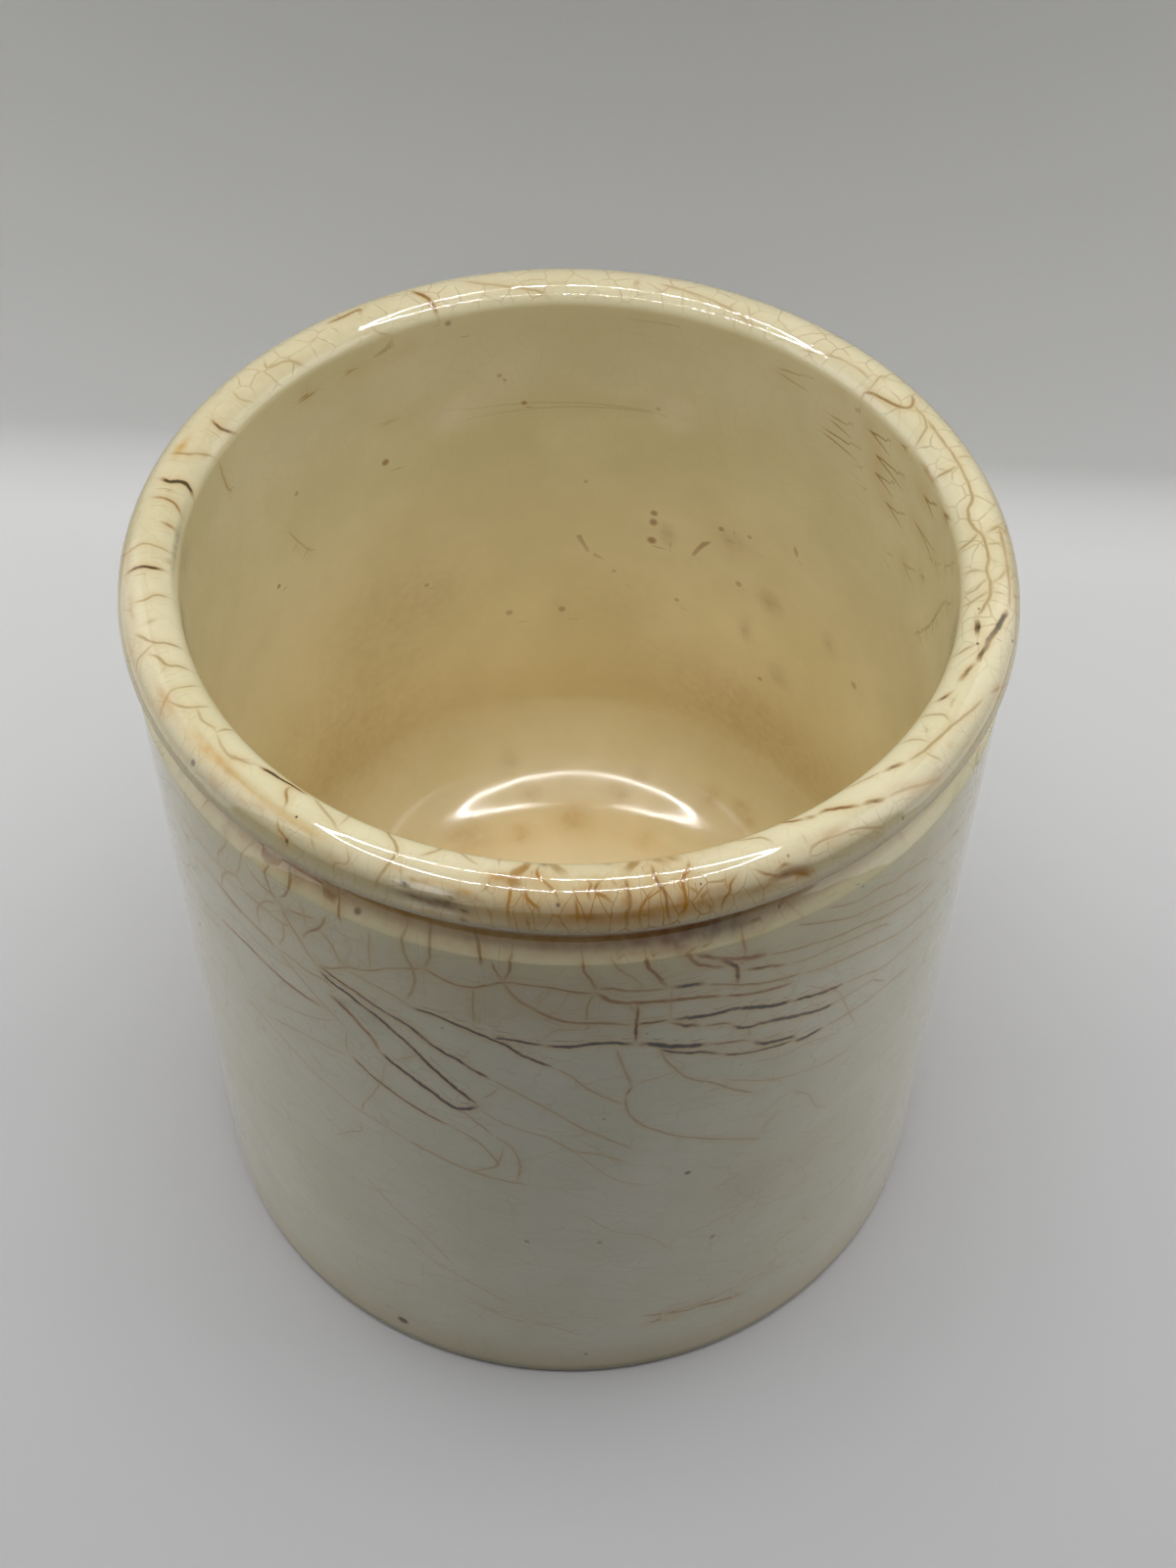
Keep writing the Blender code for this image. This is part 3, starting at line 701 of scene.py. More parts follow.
# Each stain: its tone, azimuth, reach, half sizes across and along the section, and amount
# Above and in the worn chip at the front
# The grey at -86 at the end of the next line is painted shade: a faint darkening of the wall's left
# side
# The groove holds the darkest stain, right of the front, partly painted shade where the lip
# overhangs it, and the shoulder's slope an ochre one
STAIN_TABLE = """
# Ochre band and patches on the left of the lip
ochre -51 1.15 3.2 .5 .7; ochre -45 1.1 4 .45 .5; ochre -38 1.3 4 .45 .4;
ochre -33.5 1.35 2.2 .35 .5; ochre -50 2 6 .5 .25; orange -62 1.6 2.6 .5 .5;
ochre -109 .8 1.6 .5 .85; tan -87 2.3 2.6 .35 .55; tan -78.5 2 3.4 .4 .4; grey -90 -2.45 5 .28 .6;
grey -92 -5 3 2.2 .22;
# Above and in the scuffed chip at the front
orange -18.7 1.92 .55 .2 .7; orange -17.3 1.75 .5 .2 .55; ochre -15.2 1.6 1.4 .25 .5;
ochre -12.3 1.9 .7 .35 .9; tan -10.5 2.3 1.2 .3 .45; dark -19.7 2.4 .26 .22 .85;
brown -19.3 2.9 .3 .35 .5; brown -18.2 3.25 1 .13 .75; grey -15.7 3.1 .6 .2 .6;
brown -14 3.1 1 .2 .6; grey -16.4 3.55 3 .5 .5; brown -16 3.3 3.2 .45 .25;
brown -14.6 3.4 1.1 .4 .35; dark -13.8 2.62 .16 .12 .8; dark -12.4 3.55 .24 .16 .8;
dark -11.8 3.52 .13 .12 .8; brown -16.4 3.65 .5 .15 .5; brown -12.2 4.4 .3 .2 .6;
# Tan and orange stain where the fine net of the lip is densest
tan 3 1.2 13 2.4 .28; ochre 3 1.4 11 1.2 .42; ochre 6 3.6 9 .5 .35; ochre 14 -2 6 1.4 .28;
orange 4 2.9 12 .9 .2; orange 4 3.3 9 .9 .3; tan 3 3.9 15 .8 .4; orange -3.5 -.6 3 1.2 .28;
orange 9.5 -1 4 1.1 .28; orange -8.8 .3 .9 .55 .75; tan -6.8 .4 1.2 .6 .5;
orange .6 3 1.2 .35 .75; rust 2.1 3.2 1.1 .3 .6; orange 6.7 2.1 .45 .45 .95; rust 7 3.3 2 .35 .45;
orange 10.8 2.9 1.9 .33 .95; orange 13.2 2.7 .4 .6 .85; orange 15.5 3 .45 .3 .75;
tan 4 2.9 9 .9 .35; tan 17.4 2.2 1.6 .35 .4; rust 26.5 2.85 1.5 .4 .9; brown 25.6 2.9 .8 .24 .6;
dark 26.8 3 .7 .15 .3; rust 28 3.2 .6 .35 .85; tan 22.6 3.3 1.4 .22 .6; rust 28.8 3.6 .9 .2 .5;
tan -3.4 -1.9 .35 .5 .5; grey -3.3 -1.9 .5 .5 .7; grey 4.7 -2.1 .4 .5 .5;
# The groove holds the darkest stain, right of the front, and the shoulder's slope an ochre one
rust -4 8.2 30 2.6 .45; brown 18.5 12.1 4 .34 .95; dark 19 11.7 3 .25 .5; rust 13 11.6 7 .6 .75;
orange 6 12.2 9 .5 .5; rust 14 12.15 6 .45 .6; rust 26 12.2 4 .45 .5; tan -43 12.6 7 .6 .45;
ochre 12 14.8 10 2 .14; orange -31 11.6 12 .5 .7; ochre -23.8 13.1 3 .5 .95;
ochre -33 12.7 4 .45 .6; brown -26.3 13 .5 .35 .7; orange -9 11.8 9 .4 .45; orange 5 11.4 8 .5 .6;
rust 13.2 13.6 .6 .5 .8; orange -20.2 12.6 .4 .8 .7; orange -52.5 12.5 .4 .6 .9;
brown -58.5 11.8 .6 .3 .8; tan 34 12.6 12 .8 .45; tan -52 12.9 10 .9 .45; grey -86 42 11 40 .1;
tan 180 -.5 50 2.6 .16; tan -112 -.5 26 2.4 .16;
# Upper wall: warm stain under the shoulder and brown bruises on the cracks
tan -12 23 5 2.2 .3; tan -2 22.5 6 3.5 .22; rust 22.6 17.3 1.2 .5 .75; brown 14.5 19.1 1.1 .4 .5;
tan -36.6 18.7 .9 1.3 .45; brown -26 29.5 1.8 1.6 .22; brown -30 28.8 1.4 .7 .25;
brown -12.6 40.1 1 .5 .4; tan -5 18.5 16 5 .14;
# Low wall: an even pinkish mottle at the right
tan 30 62 8 6 .22; tan 20 86 6 2.2 .2; tan -10 84 12 4 .1;
# Inner wall: blurred brown patches and spots
tan 141.5 -40.7 1.6 1.3 .45; tan 146.1 -47.3 .8 1.2 .55; tan 138.3 -52.6 1.2 1.3 .4;
tan 150 -34.6 2.2 1.8 .35; tan 162.5 -35.8 .9 1 .5; tan 127.4 -40.3 1 1.2 .35;
tan 182 -51.3 .9 1 .4; tan 172 -50 8 6 .16; tan -135 -55 14 12 .2; tan -150 -44 9 7 .22;
tan 150 -62 14 7 .24; tan -128 -67 18 9 .22; tan 130 -66 18 9 .2; tan 108 -3 2.4 .35 .8;
# Inner floor: soft brown blotches where preserve stood longest
orange 179.1 -84.5 2.1 1.9 .5; orange -164.9 -86.1 1.4 1.3 .45; orange 157.2 -85.9 1.4 1.2 .35;
orange 146.5 -77.1 1.3 1.1 .45; orange 139.3 -76.4 1.4 1.1 .4; orange 135.9 -77.7 1.3 1.1 .4;
tan -166.5 -76 1.2 1.1 .35; tan 163.9 -78 1.1 1 .35; tan -170.4 -80.9 1.4 1.1 .4;
tan 167.7 -80.5 1.4 1.1 .4; tan -150 -84 3 2 .4; tan 150 -92 3.5 2.5 .35; orange 40 -92 2.4 2 .35;
orange -60 -88 2.2 1.8 .35; tan 10 -80 5 2.5 .35; tan 0 -108 4 4 .3;
"""

# Each speck: its tone, azimuth, reach, radius and amount
SPECK_TABLE = """
brown -26.7 94.2 .75 .95; brown 16.2 54.2 .4 .8; grey 20.9 70.2 .35 .5; rust 4.2 66.3 .35 .45;
rust -6 66.3 .35 .45; grey 2.5 93.4 .3 .5; brown -52.1 3 .36 .85; dark -35.6 .85 .14 .9;
brown -1.4 2.15 .2 .8; brown 15.6 1.55 .13 .8; brown -35.3 3.05 .24 .8; rust 27 1.45 .16 .6;
dark 75.7 3.2 .22 .9; dark 72.2 -.35 .18 .8; dark 78.8 -.9 .14 .7; brown 43.3 3.7 .2 .5;
brown -26.5 13 .4 .7; grey 38 14.4 .22 .6; grey 9.5 26 .18 .6; grey -15.9 26.9 .2 .5;
grey 4.4 40.8 .22 .5; grey 22.5 35.7 .18 .45; rust 165.2 -37.8 .62 .68; rust 165 -33.3 .5 .6;
rust 155.5 -36.3 .42 .56; rust 152.4 -32.8 .42 .52; rust -146.9 -20.9 .5 .68;
rust -121.4 -28.4 .34 .64; rust -172.1 -17.1 .36 .6; rust 137.8 -29.9 .36 .48;
rust 178.4 -38.5 .4 .4; rust 176.8 -40.7 .36 .36; rust -168 -12.7 .34 .4; grey -159.7 -4.1 .4 .5;
rust 157.4 -38.4 .34 .44; rust -153 -42.7 .36 .4; rust -168.5 -51 .5 .4; rust 146.8 -32.2 .34 .4;
rust 136.7 -31.2 .32 .4; rust 177.3 -29.4 .3 .32; rust 119.6 -43.4 .6 .36;
rust -128.4 -17.9 .34 .4; rust 181.6 -51.1 .5 .48; rust 165 -17 .3 .36; rust 148.2 -40.6 .5 .4;
rust 142 -55 .4 .4; rust 160 -47 .36 .4; rust 172 -44 .3 .32; brown 120 40 .4 .6;
brown -140 62 .5 .6; grey 170 30 .3 .5;
"""

CRACKS = tuple(
    Crack(tone, half_width, strength, tuple(zip(path[::2], path[1::2])))
    for tone, (half_width, strength, *path) in read_marks(CRACK_TABLE))
STAINS = tuple(Stain(tone, *numbers) for tone, numbers in read_marks(STAIN_TABLE))
SPECKS = tuple(Speck(tone, *numbers) for tone, numbers in read_marks(SPECK_TABLE))


def scattered_dabs() -> tuple[Stain, ...]:
    """Small dabs of stain: along the shoulder, on the lip and high on the wall.

    Returns:
        The stains, always the same ones.
    """
    draw = np.random.default_rng(DAB_SEED)
    lots = (
        DabLot(120, (-80, 80), (11.9, 13.9), (0.25, 1.2), (0.12, 0.35), 0.8),
        DabLot(90, (-75, 60), (1.2, 4.4), (0.2, 1.0), (0.15, 0.4), 0.42),
        DabLot(60, (-60, 60), (14.5, 34), (0.4, 2.0), (0.2, 1.0), 0.25),
    )
    return tuple(dab for lot in lots for dab in lot.dabs(draw))


# Each hollow of a chip: azimuth, reach, half sizes across and along, and depth, in millimetres
HOLLOWS = (
    (-16.2, 3.4, 3.4, 0.6, 0.22), (-19.6, 2.6, 0.5, 0.3, 0.2), (-13.0, 2.5, 1.2, 0.4, 0.12),
    (26.4, 2.9, 1.3, 0.5, 0.2), (27.8, 3.4, 0.7, 0.4, 0.12), (-52.1, 3.0, 0.5, 0.4, 0.1),
    (67, -0.4, 1.6, 0.3, 0.12), (74, 0.7, 2.2, 0.3, 0.08), (33, -1.1, 1.2, 0.3, 0.08),
    (-26.7, 94.2, 0.7, 0.7, 0.1),
)
# The same for each place where the glaze is worn to the clay, with its amount last. The first is a
# thin pale line along the chip's upper edge, partly bare clay and partly a painted highlight of the
# broken edge.
SCUFFS_AND_EDGE_GLINT = ((-17.4, 2.3, 3.0, 0.24, 1.4), (26.5, 2.9, 1.5, 0.6, 0.3))


@dataclass(frozen=True)
class CrazeZones:
    """How strongly the glaze's own nets show: bands of reach, azimuths in degrees, and amounts.

    The first amount of a net is its least one, and the next is what comes on top where it is
    densest. The wall's two nets have a third for what is low on the wall, and the cells have one
    for the left and one for the inside.
    """

    # Most of the wall has a coarse net and streaks, but its front has the drawn cracks instead
    wall: Band = (12.5, 15, 30, 60)
    whole_wall: Band = (14, 18, 90, 98)
    lower_wall: Band = (30, 50, 85, 98)
    drawn_sides: tuple[float, float] = (52, 64)
    coarse: Triple = (0.1, 0.45, 0.14)
    streaks: Triple = (0.15, 0.3, 0.14)
    # The lip has a fine net, densest a little right of the front
    lip: Band = (-2.6, -1.4, 4.4, 5.2)
    lip_rise: tuple[float, float] = (0.8, 2.2)
    front: tuple[float, float] = (6, 13)
    front_rise: tuple[float, float] = (0.4, 1.4)
    fine: tuple[float, float] = (0.3, 0.95)
    # Cells on the lip's right and back, under the shoulder at the left, and faint ones inside
    rim: Band = (-3.2, -2.2, 4.2, 5.2)
    right_side: tuple[float, float] = (60, 78)
    left_back: tuple[float, float] = (-112, -128)
    shoulder: Band = (13, 15, 20, 32)
    left: tuple[float, float] = (-36, 17)
    inside: Band = (-40, -12, -5, -3)
    cells: tuple[float, float, float, float] = (0.06, 0.28, 0.32, 0.05)

    def grid(self, reach: np.ndarray, degrees: np.ndarray) -> np.ndarray:
        """Adds plateaus of the reach, each times an amount that may change with the azimuth.

        Args:
            reach: each row's reach.
            degrees: each column's azimuth.

        Returns:
            An array of shape (rows, columns, 4): the wall's coarse net, the lip's fine net, the
            cells, and the wall's slanting streaks.
        """
        reach, degrees = reach[:, None], degrees[None]
        wall = plateau(reach, *self.wall)
        undrawn = smooth_step(*self.drawn_sides, np.abs(degrees))
        least, more, low = self.coarse
        coarse = wall * (more * undrawn + least) + low * plateau(reach, *self.whole_wall)
        least, more, low = self.streaks
        streak = wall * (more * undrawn + least) + low * plateau(reach, *self.lower_wall)
        least, more = self.fine
        front = bell(degrees, *self.front) * smooth_step(*self.front_rise, reach)
        fine = more * front + least * smooth_step(*self.lip_rise, reach)
        fine = fine * plateau(reach, *self.lip)
        least, more, left, faint = self.cells
        behind = smooth_step(*self.right_side, degrees) + smooth_step(*self.left_back, degrees)
        cells = plateau(reach, *self.rim) * (more * np.clip(behind, 0, 1) + least)
        cells = cells + left * bell(degrees, *self.left) * plateau(reach, *self.shoulder)
        cells = cells + faint * plateau(reach, *self.inside)
        return np.stack(np.broadcast_arrays(coarse, fine, cells, streak), -1)


@dataclass
class GlazedPot:
    """The pot in one piece of glazed earthenware, with its handmade unevenness and its marks.

    Lengths and reaches are in millimetres, and places round the axis in degrees or radians.
    """

    section: PotSection = field(default_factory=PotSection)
    columns: int = 440
    # The rim's lean, as a slope, and the heights between which it sets in
    lean: float = 0.011
    lean_heights: tuple[float, float] = (30.0, 85.0)
    # The section's radii between which its floor turns into its wall
    upright_radii: tuple[float, float] = (6, 20)
    out_of_round: float = 0.05
    # The throwing rings: a ring's height, their depth inside, and where they run
    throwing_ring: float = 3.3
    throwing_depth: float = 0.016
    ring_wander: float = 2
    ring_swell: float = 0.6
    ring_start: tuple[float, float] = (-6, -9)
    outer_share: float = 0.3
    outer_pitch: float = 0.7
    outer_band: Band = (16, 22, 90, 96)
    # The front of the lip, thicker at the mouth, steeper, higher at its crest, lower at its edge
    mouth_inset: float = 0.32
    mouth_width: float = 0.66
    mouth_band: Band = (-34, -8, -2.2, 3.4)
    front_middle: float = 0.1
    face_inset: float = 0.45
    face_band: Band = (1.5, 4.2, 7.3, 9.5)
    rim_lift: float = 0.34
    rim_band: Band = (-16, -3, 7.3, 9.5)
    lip_slump: float = 0.95
    slump_band: Band = (0.6, 4.8, 7.3, 9.5)
    # The wander of the lip's edge and of the shoulder: the spread in reach, slow and fine waves
    edge_wander: tuple[float, float, float] = (0.9, 0.091, 0.056)
    shoulder_wander: tuple[float, float, float] = (0.8, 0.08, 0.1)
    hollow_grain: float = 0.25
    # How far round a crack its distance and its soaked halo are kept, and how softly both end
    crack_reach: float = 1.0
    crack_soft: tuple[float, float] = (0.1, 0.35)
    crack_tip: tuple[float, float] = (-0.4, 1.2)
    crack_margin: float = 3
    halo_width: float = 0.6
    speck_margin: float = 2.4
    # Where the inner floor is worn cloudy, and where the lip's edge and the shoulder are ragged
    cloudy_patch: tuple[float, float, float, float] = (178, -79.5, 9.0, 4.0)
    ragged_lip_width: float = 0.6
    ragged_shoulder_width: float = 0.45
    ragged_shoulder_share: float = 0.7
    ragged_sides: tuple[float, float] = (1.2, 0.8)
    zones: CrazeZones = field(default_factory=CrazeZones)
    cracks: tuple[Crack, ...] = CRACKS
    stains: tuple[Stain, ...] = STAINS
    specks: tuple[Speck, ...] = SPECKS
    angle: np.ndarray = field(init=False)
    layers: int = field(init=False, default=0)

    def __post_init__(self) -> None:
        """Places the columns, with the first one and the map's seam at the back."""
        self.angle = -math.pi + math.tau * np.arange(self.columns) / self.columns

    def _around(self, azimuth: float) -> np.ndarray:
        """Each column's angle from an azimuth in degrees, by the shorter way round."""
        return (self.angle - math.radians(azimuth) + math.pi) % math.tau - math.pi

    def _wave(self, orders: range, seed: int) -> np.ndarray:
        """A ripple over the columns, as one row."""
        return ripple(self.angle, orders, seed)[None]

    def _patch(self, azimuth: float, reach: float, across: float, along: float) -> np.ndarray:
        """A bell over the grid: e to the minus the squared distance in half sizes, rows first."""
        side = self.section.radius[:, None] * self._around(azimuth)[None] / across
        return np.exp(-(side**2) - ((self.section.reach[:, None] - reach) / along) ** 2)

    def _patches(self, rows: tuple[tuple[float, ...], ...]) -> np.ndarray:
        """Adds up patches, each given by its place, half sizes and amount."""
        return sum(amount * self._patch(*place) for *place, amount in rows)

    def _surface(self) -> np.ndarray:
        """Works out the grid's points.

        A point is the section's radius and height turned to the column's azimuth. The radius
        takes a slow out-of-round wave, throwing rings that climb one step each turn, a thicker lip
        with a steeper face at the front, and the hollows of the chips. The height takes the front
        of the lip, a little higher at its crest and lower at its edge, the wander of the lip's edge
        and of the shoulder, and the rim's lean, which grows smoothly from the waist up.

        Returns:
            Points of shape (rows, columns, 3), in millimetres.
        """
        shape = self.section
        reach, angle = shape.reach[:, None], self.angle[None]
        upright = smooth_step(*self.upright_radii, shape.radius[:, None])
        radius = shape.radius[:, None] - self.out_of_round * upright * (1 + self._wave(OVAL, 3)) / 2
        wander = self._wave(TURNS_OF_THE_HAND, 5)
        phase = math.tau * reach / self.throwing_ring + angle
        inner = smooth_step(*self.ring_start, reach) * upright * (1 + self.ring_swell * wander)
        radius = radius + self.throwing_depth * inner * np.sin(phase + self.ring_wander * wander)
        outer = self.outer_share * plateau(reach, *self.outer_band)
        turns = np.sin(self.outer_pitch * phase + self.ring_wander * wander)
        radius = radius + self.throwing_depth * outer * turns
        front = bell(angle, self.front_middle, 1)
        mouth = bell(angle, 0, self.mouth_width) * plateau(reach, *self.mouth_band)
        radius = radius - self.mouth_inset * mouth
        radius = radius - self.face_inset * front * plateau(reach, *self.face_band)
        lift = self.rim_lift * plateau(reach, *self.rim_band)
        slump = self.lip_slump * plateau(reach, *self.slump_band)
        level = shape.level[:, None] + front * (lift - slump)
        spread, slow, fine = self.edge_wander
        waves = slow * self._wave(DENTS, 8) + fine * self._wave(NICKS, 9)
        level = level + bell(reach, LIP_EDGE, spread) * waves
        spread, slow, fine = self.shoulder_wander
        waves = slow * self._wave(SHOULDER_DENTS, 12) + fine * self._wave(NICKS, 13)
        level = level + bell(reach, SHOULDER_EDGE, spread) * waves
        hollow = self._patches(HOLLOWS) * (1 + self.hollow_grain * self._wave(NICKS, 17))
        slope = np.gradient(np.stack([shape.radius, shape.level], -1), axis=0)
        normal = np.stack([-slope[:, 1], slope[:, 0]], -1) / np.hypot(*slope.T)[:, None]
        radius = radius - normal[:, :1] * hollow
        level = level - normal[:, 1:] * hollow
        across, depth = radius * np.sin(angle), -radius * np.cos(angle)
        rise = smooth_step(*self.lean_heights, level)
        return np.stack([across, depth, level - self.lean * across * rise], -1)

    def _crack_layers(self) -> list[np.ndarray]:
        """Works out each crack's signed distance over the grid.

        At a point it is the distance to the crack's nearest segment, in half widths, with the
        sign of the side that the point lies on, so that it runs evenly through 0 on the crack
        and a line thinner than the grid still draws clean. Two cracks share a layer only where
        no point is close to both.

        Returns:
            One array of shape (rows, columns, 4) a layer: signed distance, strength, tone, halo.
        """
        shape, margin = self.section, self.crack_margin
        full, end = self.crack_reach - self.crack_soft[0], self.crack_reach + self.crack_soft[1]
        layers: list[np.ndarray] = []
        taken: list[np.ndarray] = []
        for crack in self.cracks:
            line = crack.line()
            middle = line[:, 0].mean()
            scale = np.interp(line[:, 1].mean(), shape.reach, shape.radius)
            path = np.stack([(line[:, 0] - middle) * scale, line[:, 1]], -1)
            around = self._around(math.degrees(middle)) * scale
            low, high = path.min(0) - margin, path.max(0) + margin
            wide = np.flatnonzero((around > low[0]) & (around < high[0]))
            tall = np.flatnonzero((shape.reach > low[1]) & (shape.reach < high[1]))
            grid = np.stack(np.meshgrid(around[wide], shape.reach[tall]), -1)
            away, signed, here, total = self._beside(grid, path)
            shown = crack.strength * smooth_step(*self.crack_tip, np.minimum(here, total - here))
            near = away < end
            block = np.ix_(tall, wide)
            free = (at for at, used in enumerate(taken) if not (used[block] & near).any())
            index = next(free, len(layers))
            if index == len(layers):
                blank = np.zeros((len(shape.reach), self.columns, 4))
                blank[..., 0] = FAR
                layers.append(blank)
                taken.append(np.zeros(blank.shape[:2], bool))
            strength = shown * smooth_step(end, full, away)
            tone = np.full_like(away, crack.tone.value)
            halo = bell(away, 0, self.halo_width) * shown
            values = np.stack([signed / crack.half_width, strength, tone, halo], -1)
            layers[index][block] = np.where(near[..., None], values, layers[index][block])
            taken[index][block] |= near
        self.layers = len(layers)
        return layers

    @staticmethod
    def _beside(
        grid: np.ndarray, path: np.ndarray
    ) -> tuple[np.ndarray, np.ndarray, np.ndarray, float]:
        """Measures how points lie beside a path, by each point's nearest segment.

        Args:
            grid: the points, of shape (rows, columns, 2).
            path: the path's corners, of shape (count, 2).

        Returns:
            The distance, the same with the sign of the side, the way along the path, and the
            path's whole length.
        """
        start, run = path[:-1], np.diff(path, axis=0)
        square = np.maximum((run**2).sum(-1), TINY)
        offset = grid[:, :, None] - start
        share = np.clip((offset * run).sum(-1) / square, 0, 1)
        gap = offset - share[..., None] * run
        distance = np.hypot(gap[..., 0], gap[..., 1])
        side = run[:, 0] * offset[..., 1] - run[:, 1] * offset[..., 0]
        nearest = distance.argmin(-1)[..., None]
        away, side, share = (
            np.take_along_axis(part, nearest, -1)[..., 0] for part in (distance, side, share))
        nearest = nearest[..., 0]
        along = np.concatenate([[0], np.cumsum(np.sqrt(square))])
        here = along[nearest] + share * np.sqrt(square)[nearest]
        return away, away * np.where(side < 0, -1, 1), here, along[-1]

    def _stain_maps(self) -> tuple[np.ndarray, np.ndarray]:
        """Adds up the stains over the grid, warm and cold ones apart.

        Returns:
            Two arrays of shape (rows, columns, 4). The first holds ochre, orange, tan and rust.
            The second holds brown, grey and dark, and how far the glaze is worn to the clay, with
            the painted highlight on the chip's upper edge.
        """
        order = list(Tone)
        total = np.zeros((len(order), len(self.section.reach), self.columns))
        for stain in self.stains + scattered_dabs():
            patch = self._patch(stain.azimuth, stain.reach, stain.across, stain.along)
            slot = order.index(stain.tone)
            total[slot] = 1 - (1 - total[slot]) * (1 - stain.amount * patch)
        scuff_and_glint = np.clip(self._patches(SCUFFS_AND_EDGE_GLINT), 0, 1)
        warm, cold = total[:4], np.concatenate([total[4:], scuff_and_glint[None]])
        return np.moveaxis(warm, 0, -1), np.moveaxis(cold, 0, -1)

    def _speck_map(self) -> np.ndarray:
        """Gives each point the way to its nearest speck, in that speck's radii.

        The two offsets run evenly over the grid, so a speck smaller than a face draws round.

        Returns:
            An array of shape (rows, columns, 4): the two offsets, the amount and the tone.
        """
        shape = self.section
        best = np.full((len(shape.reach), self.columns), np.inf)
        found = np.zeros(best.shape + (4,))
        found[..., :2] = FAR
        for speck in self.specks:
            scale = np.interp(speck.reach, shape.reach, shape.radius)
            across = scale * self._around(speck.azimuth)[None] / speck.radius
            along = (shape.reach[:, None] - speck.reach) / speck.radius
            away = np.hypot(across, along) * speck.radius
            near = away < np.minimum(best, speck.radius + self.speck_margin)
            parts = np.broadcast_arrays(across, along, speck.amount, speck.tone.value)
            found = np.where(near[..., None], np.stack(parts, -1), found)
            best = np.where(near, away, best)
        return found

    def _surface_marks(self, layers: list[np.ndarray]) -> np.ndarray:
        """Where the glaze itself is changed.

        Args:
            layers: the layers of cracks.

        Returns:
            An array of shape (rows, columns, 3): how soaked, how cloudy and how ragged it is.
        """
        reach = self.section.reach[:, None]
        halo = np.clip(sum(layer[..., 3] for layer in layers), 0, 1)
        sides = smooth_step(*self.ragged_sides, np.abs(self.angle))[None]
        shoulder = bell(reach, SHOULDER_EDGE, self.ragged_shoulder_width) * sides
        lip = bell(reach, LIP_EDGE, self.ragged_lip_width)
        ragged = lip + self.ragged_shoulder_share * shoulder
        return np.stack([halo, self._patch(*self.cloudy_patch), ragged], -1)

    def build(self) -> bpy.types.Object:
        """Makes the pot's mesh, its two unrolled maps and its marks.

        The faces are quads between the rows, and two fans that close the floor and the foot.

        Returns:
            The pot's object, at the origin.
        """
        points = self._surface()
        rows, columns = points.shape[:2]
        poles = np.array([[0, 0, self.section.floor_centre], [0, 0, self.section.recess]])
        row, column = np.meshgrid(np.arange(rows - 1), np.arange(columns), indexing="ij")
        here, beside = row * columns + column, row * columns + (column + 1) % columns
        quads = np.stack([here, here + columns, beside + columns, beside], -1).reshape(-1, 4)
        pole = np.full(columns, rows * columns)
        floor_fan = np.stack([pole, here[0], beside[0]], -1)
        foot_fan = np.stack([here[-1] + columns, pole + 1, beside[-1] + columns], -1)
        mesh = bpy.data.meshes.new("pot_body_glazed")
        places = np.vstack([points.reshape(-1, 3), poles]) * MM
        mesh.from_pydata(places, [], quads.tolist() + floor_fan.tolist() + foot_fan.tolist())
        mesh.polygons.foreach_set("use_smooth", np.ones(len(mesh.polygons), bool))
        for name, first in (("unrolled_front", 0), ("unrolled_back", columns // 2)):
            layer = mesh.uv_layers.new(name=name)
            layer.data.foreach_set("uv", self._unrolled(first))
        layers = self._crack_layers()
        warm, cold = self._stain_maps()
        self._write(mesh, "warm_stain", warm)
        self._write(mesh, "cold_stain", cold)
        self._write(mesh, "specks", self._speck_map())
        self._write(mesh, "craze", self.zones.grid(self.section.reach, np.degrees(self.angle)))
        self._write(mesh, "surface", self._surface_marks(layers))
        for index, marks in enumerate(layers):
            self._write(mesh, f"crack_{index}", marks)
        pot = bpy.data.objects.new("pot_body_glazed", mesh)
        bpy.context.scene.collection.objects.link(pot)
        return pot

    def _unrolled(self, first: int) -> np.ndarray:
        """Unrolls the glaze: the azimuth times the wall's radius across, and the reach up.

        Args:
            first: the column where the map's seam lies, with 0 at the back.

        Returns:
            Two numbers for each corner of the quads, of the floor's fan and of the foot's fan,
            in metres, in one row.
        """
        columns = self.columns
        reach, radius = self.section.reach, self.section.radius
        step = math.tau * self.section.body_radius / columns
        ring = np.arange(columns)
        start = np.where(ring >= first, ring, ring + columns) - columns / 2
        middle, end = start + 0.5, start + 1
        maps = (
            ((start, start, end, end), np.stack([reach[:-1], reach[1:], reach[1:], reach[:-1]])),
            ((middle, start, end), np.array([[reach[0] - radius[0]], [reach[0]], [reach[0]]])),
            ((start, middle, end), np.array([[reach[-1]], [reach[-1] + radius[-1]], [reach[-1]]])),
        )
        parts = []
        for across, up in maps:
            across = np.stack(across, -1)[None] * step
            both = np.broadcast_arrays(across, up.T[:, None])
            parts.append(np.stack(both, -1).ravel() * MM)
        return np.concatenate(parts)

    @staticmethod
    def _write(mesh: bpy.types.Mesh, name: str, grid: np.ndarray) -> None:
        """Stores a grid of up to four numbers a point, with the poles at their row's mean.

        Args:
            mesh: the pot's mesh.
            name: what the attribute is called.
            grid: the numbers, of shape (rows, columns, up to 4).
        """
        ends = np.stack([grid[0].mean(0), grid[-1].mean(0)])
        values = np.vstack([grid.reshape(-1, grid.shape[-1]), ends]).astype(np.float32)
        values = np.pad(values, ((0, 0), (0, 4 - values.shape[1])))
        layer = mesh.attributes.new(name, "FLOAT_COLOR", "POINT")
        layer.data.foreach_set("color", values.ravel())


@dataclass(frozen=True)
class Net:
    """A net of fine crazing: its cells for each millimetre, and its lines' half width in mm."""

    cells: tuple[float, float]
    wander: float
    half_width: float
    tone: float
    slant: float = 0.0


